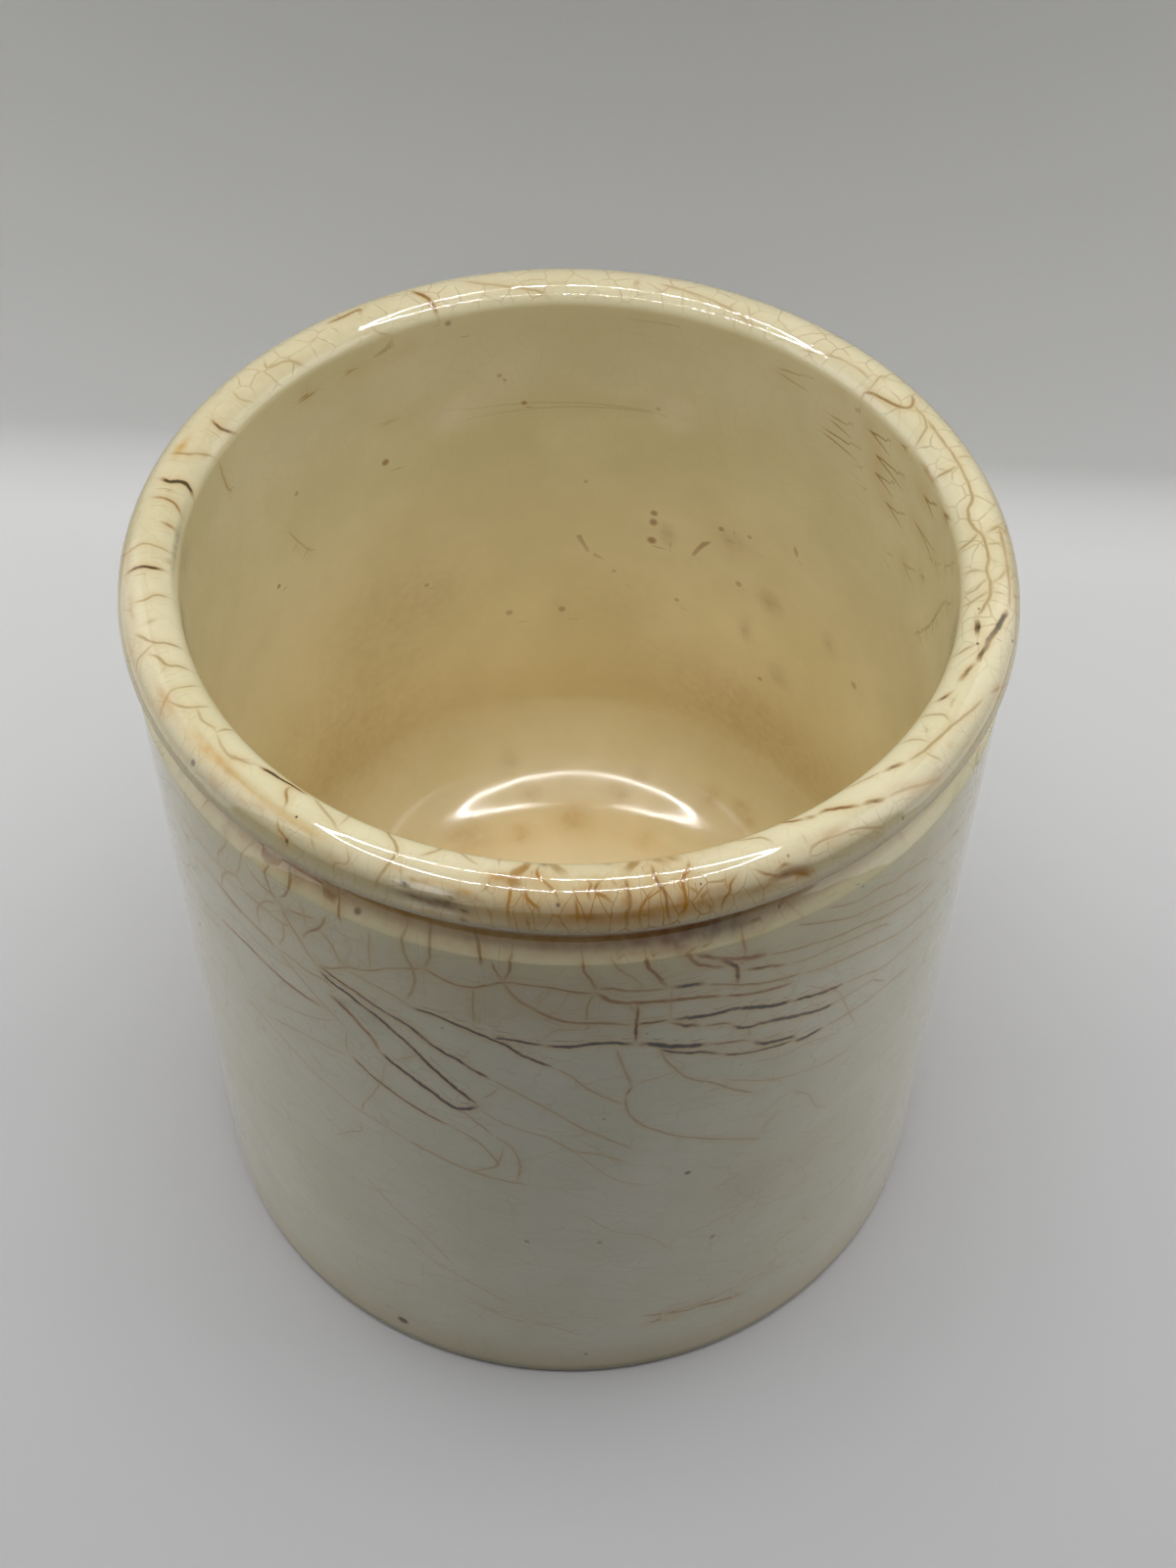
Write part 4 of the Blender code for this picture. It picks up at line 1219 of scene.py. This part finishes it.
@dataclass(frozen=True)
class CrazedGlaze:
    """Cream earthenware under a clear, slightly yellow lead glaze that has crazed and stained.

    The fired body is dipped in glaze and fired again, so it is glossy and a little wavy. It gives
    the eye a warm ivory, yellower inside and on the lip, where preserve has soaked in through the
    crazing, and sharp small highlights. Inside, spoons have dulled it.
    """

    ior: float = 1.6
    roughness: float = 0.035
    worn_roughness: float = 0.1
    worn_reach: tuple[float, float] = (-0.06, -0.004)
    cloudy_roughness: float = 0.06
    crack_roughness: float = 0.15
    clay_roughness: float = 0.75
    # The glaze's colour by reach in millimetres, from the inner floor over the lip to the foot,
    # with painted shade and light on the lip, in the groove, on the shoulder and at the foot
    grounds_with_painted_shade: Stops = (
        (-112, "F8ECCC"), (-96, "F4E4C0"), (-86, "E4CE9E"), (-76, "E6D5A8"), (-66, "EADAAE"),
        (-48, "EFE3BA"), (-10, "E2DAB6"), (-3.4, "DDD4AC"), (-2.4, "E8DFB8"), (0.5, "E9DFB8"),
        # From 1.6 to 4.9: painted shade, the lip's face darker where it turns down from the light,
        # then a painted highlight, lighter along its lower edge
        (1.6, "DDD3AD"), (2.5, "D4C9A3"), (3.1, "B9AD88"), (3.8, "BDB290"), (4.3, "D2C9AA"),
        # From 5.2 to 11.2: darker under the lip and in the groove, partly stain and partly painted
        # shade
        (4.9, "DCD4B8"), (5.2, "947A46"), (5.7, "866836"), (11.2, "BAA066"), (11.9, "DECC98"),
        # 12.6 and 13.3: the shoulder's slope lighter, partly pooled glaze and partly painted light
        #                where it faces up
        (12.6, "F0E4B8"), (13.3, "F1E6BC"), (14.0, "D2CAA2"), (17, "CCC4A2"), (30, "CECAB0"),
        # 97.3: painted contact shadow, a dark band where the wall rounds into the foot just above
        #       the floor
        (90, "CECAB1"), (96.4, "C4B996"), (97.3, "948A68"), (98.3, "CDBB96"), (102.6, "CDBB96"),
        (103.6, "D2C7A2"), (142, "E0D4AA"),
    )
    crack_colours: tuple[str, ...] = (
        "AB8F30", "A87208", "9A7A3C", "93601A", "563606", "4C4624", "2E2000")
    stain_colours: tuple[str, ...] = (
        "CFA04A", "BC8430", "B08C5C", "8F5526", "5F432C", "675A48", "352B21")
    soaked: str = "C8A468"
    soaked_share: float = 0.55
    # The pale of glaze worn to the clay, also used as a painted highlight along the chip's upper
    # edge
    scuffed: str = "F6ECD6"
    # Noise: the size in millimetres, and the detail
    cloud_noise: tuple[float, float] = (14.0, 3.0)
    blotch_noise: tuple[float, float] = (3.2, 4.0)
    grain_noise: tuple[float, float] = (1.1, 2.0)
    sway_noise: tuple[float, float] = (2.5, 3.0)
    swell_noise: tuple[float, float] = (6, 1.0)
    peel_noise: tuple[float, float] = (1.6, 1.0)
    ragged_noise: tuple[float, float] = (0.7, 2.0)
    # How noise and marks are carried over
    cloud_light: Span = (0.35, 0.68, 0.94, 1.03)
    cloud_blue: Span = (0.35, 0.68, 0.96, 1.03)
    blotch_light: Span = (0.35, 0.65, 0.985, 1.01)
    crack_sway: Span = (0.2, 0.8, -0.7, 0.7)
    crack_wear: Span = (0.3, 0.6, 0.75, 1.2)
    crack_edge: Span = (0.55, 1.95, 1.0, 0.0)
    net_fade: Span = (0.35, 0.6, 0.25, 1.0)
    net_edge: tuple[float, float] = (0.5, 1.6)
    # The metres across at which the map with its seam at the front takes over behind
    map_change: Span = (0.106, 0.114, 0.0, 1.0)
    stain_wear: Span = (0.8, 1.25, 0.6, 1.15)
    scuff_and_glint_wear: Span = (0.3, 0.6, 0.5, 1.4)
    scuff_and_glint_pale: Span = (0.35, 0.8, 0.0, 0.8)
    scuff_and_glint_dull: Span = (0.3, 0.9, 0.0, 0.5)
    speck_edge: Span = (0.45, 1.25, 1.0, 0.0)
    gloss_change: Span = (0.3, 0.7, 0.8, 1.3)
    # The bare clay of the foot ring, in metres of reach: where it starts and where it ends
    bare_start: tuple[float, float] = (0.0978, 0.0984)
    bare_end: tuple[float, float] = (0.1032, 0.1024)
    # The relief, in shares of the swell's height: the orange peel, the cracks and the ragged edges
    relief_height: float = 0.00004
    peel_height: float = 0.08
    crack_height: float = -0.25
    ragged_height: float = 4.0
    # The wall's coarse net, the lip's fine one, the cells and the slanting streaks, as the craze
    # attribute holds them. The lines are drawn a little wider than real ones, so that they show.
    nets: tuple[Net, ...] = (
        Net((0.19, 0.25), 3.4, 0.09, 0.38),
        Net((0.62, 0.38), 1.0, 0.07, 0.24),
        Net((0.36, 0.42), 1.2, 0.09, 0.28),
        Net((0.055, 0.30), 2.2, 0.08, 0.40, slant=0.35),
    )

    @staticmethod
    def _ramp(colours: tuple[str, ...]) -> Stops:
        """The stops of a ramp of tones."""
        return tuple((tone.value, code) for tone, code in zip(Tone, colours))

    def material(self, layers: int) -> bpy.types.Material:
        """Makes the glaze's material.

        Args:
            layers: how many crack layers the mesh holds.

        Returns:
            The material.
        """
        material = bpy.data.materials.new("crazed_cream_glaze")
        material.use_nodes = True
        tree = material.node_tree
        make = partial(add, tree)
        shader = tree.nodes["Principled BSDF"]
        scale = {"Scale": PER_METRE}
        place = make("VectorMath", make("TexCoord", out="Object"), named=scale, operation="SCALE")
        cloud, blotch, grain = (
            make("TexNoise", named={"Vector": place, "Scale": 1 / size, "Detail": detail})
            for size, detail in (self.cloud_noise, self.blotch_noise, self.grain_noise))
        reach = make("SeparateXYZ", make("UVMap", uv_map="unrolled_front"), out="Y")
        ground = self._ground(make, reach, cloud, blotch)
        tone, cracks = self._cracks(make, layers, grain, blotch)
        net_tone, net = self._nets(make, place, blotch)
        lines = make("Math", cracks, net, operation="MAXIMUM")
        tone = make("Mix", cracks, named={FROM: net_tone, TO: tone})
        stained = self._stains(make, ground, blotch, grain)
        drawn = make("ValToRGB", tone, stops=self._ramp(self.crack_colours))
        colour = make("Mix", lines, named={UNDER: stained, OVER: drawn}, **COLOURS)
        tree.links.new(self._specks(make, colour), shader.inputs["Base Color"])
        shader.inputs["IOR"].default_value = self.ior
        shader.inputs["Metallic"].default_value = 0.0
        tree.links.new(self._gloss(make, reach, lines, blotch), shader.inputs["Roughness"])
        tree.links.new(self._relief(make, place, lines), shader.inputs["Normal"])
        return material

    def _ground(self, make: Callable, reach: Socket, cloud: Socket, blotch: Socket) -> Socket:
        """The glaze's colour by reach, with its painted shade and light, clouded where it lies
        thick, yellower where it pooled.

        Args:
            make: adds a node to the tree.
            reach: the reach in metres.
            cloud: noise of large clouds.
            blotch: noise of small blotches.

        Returns:
            The colour.
        """
        low, high = self.grounds_with_painted_shade[0][0], self.grounds_with_painted_shade[-1][0]
        share = make("MapRange", reach, low * MM, high * MM, 0.0, 1.0)
        stops = tuple(((at - low) / (high - low), code) for at, code in self.grounds_with_painted_shade)
        colour = make("ValToRGB", share, stops=stops)
        light = make("MapRange", cloud, *self.cloud_light)
        mottle = make("MapRange", blotch, *self.blotch_light)
        light = make("Math", light, mottle, operation="MULTIPLY")
        blue = make("Math", light, make("MapRange", cloud, *self.cloud_blue), operation="MULTIPLY")
        pair = {UNDER: colour, OVER: make("CombineColor", light, light, blue)}
        return make("Mix", 1.0, named=pair, blend_type="MULTIPLY", **COLOURS)

    def _cracks(
        self, make: Callable, layers: int, grain: Socket, blotch: Socket
    ) -> tuple[Socket, Socket]:
        """Draws the cracks: a soft line where the signed distance is under the half width.

        Args:
            make: adds a node to the tree.
            layers: how many crack layers the mesh holds.
            grain: fine noise that sways the lines.
            blotch: coarser noise that wears them thin.

        Returns:
            The tone and the amount.
        """
        sway = make("MapRange", grain, *self.crack_sway)
        worn = make("MapRange", blotch, *self.crack_wear, **SOFT)
        tone, amount = Tone.TAN.value, 0.0
        for index in range(layers):
            marks = make("Attribute", attribute_name=f"crack_{index}")
            distance, strength, drawn = make("SeparateColor", marks).node.outputs
            away = make("Math", make("Math", distance, sway, operation="ADD"), operation="ABSOLUTE")
            line = make("MapRange", away, *self.crack_edge, **SOFT)
            line = make("Math", line, strength, operation="MULTIPLY")
            tone = make("Mix", line, named={FROM: tone, TO: drawn})
            amount = make("Math", amount, line, operation="MAXIMUM")
        return tone, make("Math", amount, worn, operation="MULTIPLY", use_clamp=True)

    def _nets(self, make: Callable, place: Socket, blotch: Socket) -> tuple[Socket, Socket]:
        """Draws the nets of fine crazing: the borders of cells on the unrolled glaze.

        Args:
            make: adds a node to the tree.
            place: the place in millimetres.
            blotch: noise that fades the nets in and out.

        Returns:
            The tone and the amount.
        """
        size, detail = self.sway_noise
        sway = {"Vector": place, "Scale": 1 / size, "Detail": detail}
        sway = make("VectorMath", make("TexNoise", named=sway, out=1), HALF, operation="SUBTRACT")
        marks = make("Attribute", attribute_name="craze").node.outputs
        zones = (*make("SeparateColor", marks["Color"]).node.outputs, marks["Alpha"])
        across = make("SeparateXYZ", make("UVMap", uv_map="unrolled_front"))
        side = make("Math", across, operation="ABSOLUTE")
        behind = make("MapRange", side, *self.map_change)
        tone, amount = Tone.TAN.value, 0.0
        fade = make("MapRange", blotch, *self.net_fade, **SOFT)
        for net, zone in zip(self.nets, zones):
            sides = []
            for name in ("unrolled_front", "unrolled_back"):
                flat, spread = make("UVMap", uv_map=name), (net.wander, net.wander, 0.0)
                flat = make("VectorMath", flat, (PER_METRE, PER_METRE, 0.0), operation="MULTIPLY")
                flat = make("VectorMath", sway, spread, flat, operation="MULTIPLY_ADD")
                turn = {"Angle": -net.slant}
                flat = make("VectorRotate", flat, named=turn, rotation_type="Z_AXIS")
                flat = make("VectorMath", flat, (*net.cells, 0.0), operation="MULTIPLY")
                sides.append(make("TexVoronoi", flat, named={"Scale": 1.0}, out="Distance",
                                  voronoi_dimensions="2D", feature="DISTANCE_TO_EDGE"))
            edge = make("Mix", behind, named=dict(zip((FROM, TO), sides)))
            solid, clear = (net.half_width * net.cells[1] * share for share in self.net_edge)
            line = make("MapRange", edge, solid, clear, 1.0, 0.0, **SOFT)
            line = make("Math", line, zone, operation="MULTIPLY")
            line = make("Math", line, fade, operation="MULTIPLY")
            tone = make("Mix", line, named={FROM: tone, TO: net.tone})
            amount = make("Math", amount, line, operation="MAXIMUM")
        return tone, amount

    def _stains(self, make: Callable, ground: Socket, blotch: Socket, grain: Socket) -> Socket:
        """Soaks the glaze along the cracks, pales the scuffs and paints a highlight on the chip's
        upper edge, and lays each tone's stains over it.

        Args:
            make: adds a node to the tree.
            ground: the glaze's own colour.
            blotch: noise that breaks the stains up.
            grain: finer noise that does the same.

        Returns:
            The stained colour.
        """
        warm = make("Attribute", attribute_name="warm_stain").node.outputs
        cold = make("Attribute", attribute_name="cold_stain").node.outputs
        warm_parts = make("SeparateColor", warm["Color"]).node.outputs
        cold_parts = make("SeparateColor", cold["Color"]).node.outputs
        halo = make("SeparateColor", make("Attribute", attribute_name="surface"))
        halo = make("Math", halo, self.soaked_share, operation="MULTIPLY")
        colour = make("Mix", halo, named={UNDER: ground, OVER: linear(self.soaked)}, **COLOURS)
        worn = make("MapRange", blotch, *self.scuff_and_glint_wear)
        scuff_and_glint = make("Math", cold["Alpha"], worn, operation="MULTIPLY")
        scuff_and_glint = make("MapRange", scuff_and_glint, *self.scuff_and_glint_pale, **SOFT)
        colour = make("Mix", scuff_and_glint, named={UNDER: colour, OVER: linear(self.scuffed)}, **COLOURS)
        worn = make("MapRange", make("Math", blotch, grain, operation="ADD"), *self.stain_wear)
        for code, part in zip(self.stain_colours, (*warm_parts, warm["Alpha"], *cold_parts)):
            amount = make("Math", part, worn, operation="MULTIPLY", use_clamp=True)
            colour = make("Mix", amount, named={UNDER: colour, OVER: linear(code)}, **COLOURS)
        return colour

    def _specks(self, make: Callable, ground: Socket) -> Socket:
        """Lays the specks over the glaze: discs with a soft edge.

        Args:
            make: adds a node to the tree.
            ground: the glaze's colour under the specks.

        Returns:
            The colour with the specks.
        """
        marks = make("Attribute", attribute_name="specks").node.outputs
        across, along, strength = make("SeparateColor", marks["Color"]).node.outputs
        way = make("CombineXYZ", across, along)
        away = make("VectorMath", way, out="Value", operation="LENGTH")
        disc = make("MapRange", away, *self.speck_edge, **SOFT)
        disc = make("Math", disc, strength, operation="MULTIPLY")
        spot = make("ValToRGB", marks["Alpha"], stops=self._ramp(self.stain_colours))
        return make("Mix", disc, named={UNDER: ground, OVER: spot}, **COLOURS)

    def _gloss(self, make: Callable, reach: Socket, lines: Socket, blotch: Socket) -> Socket:
        """Smooth glaze, dulled inside and along the cracks, with dull scuffs and bare clay.

        Args:
            make: adds a node to the tree.
            reach: the reach in metres.
            lines: how strongly a crack shows.
            blotch: noise that varies the gloss.

        Returns:
            The roughness.
        """
        ends = (*self.worn_reach, self.worn_roughness, self.roughness)
        used = make("MapRange", reach, *ends, **SOFT)
        change = make("MapRange", blotch, *self.gloss_change)
        used = make("Math", used, change, operation="MULTIPLY")
        cloudy = make("SeparateColor", make("Attribute", attribute_name="surface"), out=1)
        used = make("Math", cloudy, self.cloudy_roughness, used, operation="MULTIPLY_ADD")
        start = make("MapRange", reach, *self.bare_start)
        bare = make("Math", start, make("MapRange", reach, *self.bare_end), operation="MULTIPLY")
        scuff_and_glint = make("Attribute", out="Alpha", attribute_name="cold_stain")
        scuff_and_glint = make("MapRange", scuff_and_glint, *self.scuff_and_glint_dull, **SOFT)
        dull = make("Math", bare, scuff_and_glint, operation="MAXIMUM")
        rough = make("Mix", dull, named={FROM: used, TO: self.clay_roughness})
        return make("Math", lines, self.crack_roughness, rough, operation="MULTIPLY_ADD")

    def _relief(self, make: Callable, place: Socket, lines: Socket) -> Socket:
        """Swells the glaze and peels it like an orange, sinks its cracks and frets its edges.

        Args:
            make: adds a node to the tree.
            place: the place in millimetres.
            lines: how strongly a crack shows.

        Returns:
            The normal.
        """
        swell, peel, ragged = (
            make("TexNoise", named={"Vector": place, "Scale": 1 / size, "Detail": detail})
            for size, detail in (self.swell_noise, self.peel_noise, self.ragged_noise))
        relief = make("Math", peel, self.peel_height, swell, operation="MULTIPLY_ADD")
        relief = make("Math", lines, self.crack_height, relief, operation="MULTIPLY_ADD")
        edges = make("SeparateColor", make("Attribute", attribute_name="surface"), out=2)
        ragged = make("Math", ragged, edges, operation="MULTIPLY")
        relief = make("Math", ragged, self.ragged_height, relief, operation="MULTIPLY_ADD")
        depth = {"Strength": 1.0, "Distance": self.relief_height, "Height": relief}
        return make("Bump", named=depth)


@dataclass(frozen=True)
class PaleCard:
    """Matt white card of a small light box: a pale grey with painted light, paler towards its bend.
    """

    floor: str = "C5C5C7"
    bend: str = "DFDFDF"
    top: str = "C4C4C2"
    # The distance back and the height, in metres, at which the painted light is half way up its
    # ramp
    back: float = 0.1
    height: float = 0.09
    roughness: float = 0.9
    specular: float = 0.2

    def material(self) -> bpy.types.Material:
        """Makes the card's material, whose back lets everything through.

        Returns:
            The material.
        """
        material = bpy.data.materials.new("pale_card")
        material.use_nodes = True
        tree = material.node_tree
        make = partial(add, tree)
        shader = tree.nodes["Principled BSDF"]
        place = make("SeparateXYZ", make("TexCoord", out="Object")).node.outputs
        back = make("MapRange", place["Y"], 0.0, self.back, 0.0, 0.5)
        share = make("MapRange", place["Z"], 0.0, self.height, 0.0, 0.5)
        share = make("Math", back, share, operation="ADD")
        stops = ((0.0, self.floor), (0.5, self.bend), (1.0, self.top))
        card_painted_light = make("ValToRGB", share, stops=stops)
        tree.links.new(card_painted_light, shader.inputs["Base Color"])
        shader.inputs["Roughness"].default_value = self.roughness
        shader.inputs["Specular IOR Level"].default_value = self.specular
        behind = make("NewGeometry", out="Backfacing")
        sided = make("MixShader", behind, shader.outputs[0], make("BsdfTransparent"))
        tree.links.new(sided, tree.nodes["Material Output"].inputs["Surface"])
        return material


@dataclass
class Backdrop:
    """A card floor that turns up into a back wall, in metres, with its turn in degrees."""

    distance: float = 0.1009
    turn: float = -3.57
    bend: float = 0.012
    half_width: float = 1.6
    forward: float = 1.6
    wall_height: float = 1.2
    steps: int = 24

    def build(self) -> None:
        """Makes the sweep: a straight floor, a quarter circle and a wall, drawn out sideways."""
        turn = np.linspace(0, math.pi / 2, self.steps)
        bend_y = self.distance - self.bend + self.bend * np.sin(turn)
        bend_z = self.bend - self.bend * np.cos(turn)
        bend = np.stack([bend_y, bend_z], -1)
        profile = np.vstack([[-self.forward, 0], bend, [self.distance, self.wall_height]])
        sides = np.array([-self.half_width, self.half_width])
        places = np.stack(np.broadcast_arrays(sides, profile[:, :1], profile[:, 1:]), -1)
        spin = np.array(Matrix.Rotation(math.radians(self.turn), 3, "Z"))
        row = np.arange(len(profile) - 1) * 2
        faces = np.stack([row, row + 1, row + 3, row + 2], -1)
        mesh = bpy.data.meshes.new("card_sweep")
        mesh.from_pydata(places.reshape(-1, 3) @ spin.T, [], faces.tolist())
        mesh.polygons.foreach_set("use_smooth", np.ones(len(mesh.polygons), bool))
        mesh.materials.append(PaleCard().material())
        sweep = bpy.data.objects.new("card_sweep", mesh)
        bpy.context.scene.collection.objects.link(sweep)


@dataclass
class RingLamp:
    """The glints of a round lamp over the pot: a ring of small discs, in metres and watts.

    The panels carry the light itself, so the discs show in the gloss alone.
    """

    centre: Triple = (-0.0042, 0.0, 0.23)
    radius: float = 0.0583
    discs: int = 90
    disc_size: float = 0.0026
    power: float = 0.23

    def build(self) -> None:
        """Hangs the discs, evenly spaced and facing down."""
        turn = math.tau * np.arange(self.discs) / self.discs
        ring = self.radius * np.stack([np.cos(turn), np.sin(turn), 0 * turn], -1)
        for index, spot in enumerate(ring + self.centre):
            lamp = bpy.data.lights.new(f"ring_disc_{index:02d}", "AREA")
            lamp.shape = "DISK"
            lamp.size = self.disc_size
            lamp.energy = self.power / self.discs
            disc = bpy.data.objects.new(lamp.name, lamp)
            disc.location = spot
            disc.visible_diffuse = False
            bpy.context.scene.collection.objects.link(disc)


@dataclass
class SoftLight:
    """A plain soft panel of light, in metres and watts."""

    name: str
    place: Triple
    aim: Triple
    size: tuple[float, float]
    power: float
    spread: float = math.pi
    mirrored: bool = True

    def build(self) -> None:
        """Hangs the panel so that it faces its aim."""
        lamp = bpy.data.lights.new(self.name, "AREA")
        lamp.shape = "RECTANGLE"
        lamp.size, lamp.size_y = self.size
        lamp.energy = self.power
        lamp.spread = self.spread
        panel = bpy.data.objects.new(self.name, lamp)
        panel.visible_glossy = self.mirrored
        way = Vector(self.aim) - Vector(self.place)
        panel.location = self.place
        panel.rotation_euler = way.to_track_quat("-Z", "Y").to_euler()
        bpy.context.scene.collection.objects.link(panel)


@dataclass
class Studio:
    """The backdrop, the lamps and the pale air around them."""

    air: str = "D6D6D8"
    air_strength: float = 0.8
    panels: tuple[SoftLight, ...] = (
        SoftLight("overhead_panel", (0, 0, 0.4), (0, 0, 0), (0.3, 0.3), 0.25,
                  spread=1.4, mirrored=False),
        SoftLight("front_panel", (0, -0.25, 0.34), (0, 0, 0.08), (0.24, 0.12), 0.12,
                  mirrored=False),
        SoftLight("left_panel", (-0.16, 0.02, 0.12), (0, 0, 0.05), (0.2, 0.22), 0.16),
        SoftLight("right_panel", (0.16, 0.02, 0.12), (0, 0, 0.05), (0.2, 0.22), 0.168),
    )

    def build(self) -> None:
        """Builds the backdrop, the lamps and the world, which is pale but gives no light."""
        Backdrop().build()
        RingLamp().build()
        for panel in self.panels:
            panel.build()
        world = bpy.data.worlds.new("studio_air")
        world.use_nodes = True
        tree = world.node_tree
        make = partial(add, tree)
        rays = make("LightPath").node.outputs
        seen = make("Math", rays["Is Camera Ray"], rays["Is Glossy Ray"], operation="MAXIMUM")
        seen = make("Math", seen, rays["Is Transmission Ray"], operation="MAXIMUM")
        strength = make("Math", seen, self.air_strength, operation="MULTIPLY")
        background = tree.nodes["Background"].inputs
        tree.links.new(strength, background["Strength"])
        background["Color"].default_value = linear(self.air)
        bpy.context.scene.world = world


@dataclass
class Viewpoint:
    """The photograph's viewpoint: a hand-held camera that looks down into the pot.

    The place is in metres, the angles in radians, the lens and the sensor in millimetres.
    """

    place: Triple = (0.0, -0.1608, 0.2567)
    pitch: float = 0.8953
    yaw: float = 0.0121
    roll: float = 0.0107
    lens: float = 54.0
    sensor: float = 36.0
    clip: tuple[float, float] = (0.01, 10)

    def build(self) -> None:
        """Makes the scene's camera from its pitch down, its yaw to the right and its roll."""
        data = bpy.data.cameras.new("viewpoint")
        data.lens, data.sensor_width = self.lens, self.sensor
        data.clip_start, data.clip_end = self.clip
        level = Vector((math.cos(self.yaw), -math.sin(self.yaw), 0))
        flat = math.cos(self.pitch)
        ahead = (math.sin(self.yaw) * flat, math.cos(self.yaw) * flat, -math.sin(self.pitch))
        ahead = Vector(ahead)
        above = level.cross(ahead)
        right = math.cos(self.roll) * level + math.sin(self.roll) * above
        top = math.cos(self.roll) * above - math.sin(self.roll) * level
        turned = Matrix((right, top, -ahead)).transposed().to_4x4()
        camera = bpy.data.objects.new("viewpoint", data)
        camera.matrix_world = Matrix.Translation(self.place) @ turned
        bpy.context.scene.collection.objects.link(camera)
        bpy.context.scene.camera = camera


def build_pot() -> None:
    """Builds the glazed pot over the CAD node and dresses it."""
    maker = GlazedPot()
    pot = maker.build()
    pot.data.materials.append(CrazedGlaze().material(maker.layers))
    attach(pot, "root")
    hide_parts("pot_body")
    faces, cracks = len(pot.data.polygons), len(maker.cracks)
    LOG.info("pot_body_glazed: %d faces, %d cracks in %d layers", faces, cracks, maker.layers)


def main() -> None:
    logging.basicConfig(level=logging.INFO, format="%(name)s: %(message)s")
    build_pot()
    Studio().build()
    LOG.info("studio: sweep, ring lamp, and panels above, in front and at both sides")
    Viewpoint().build()
    LOG.info("viewpoint: the photograph's camera")
    bpy.context.scene.view_settings.view_transform = "Standard"


if __name__ == "__main__":
    main()
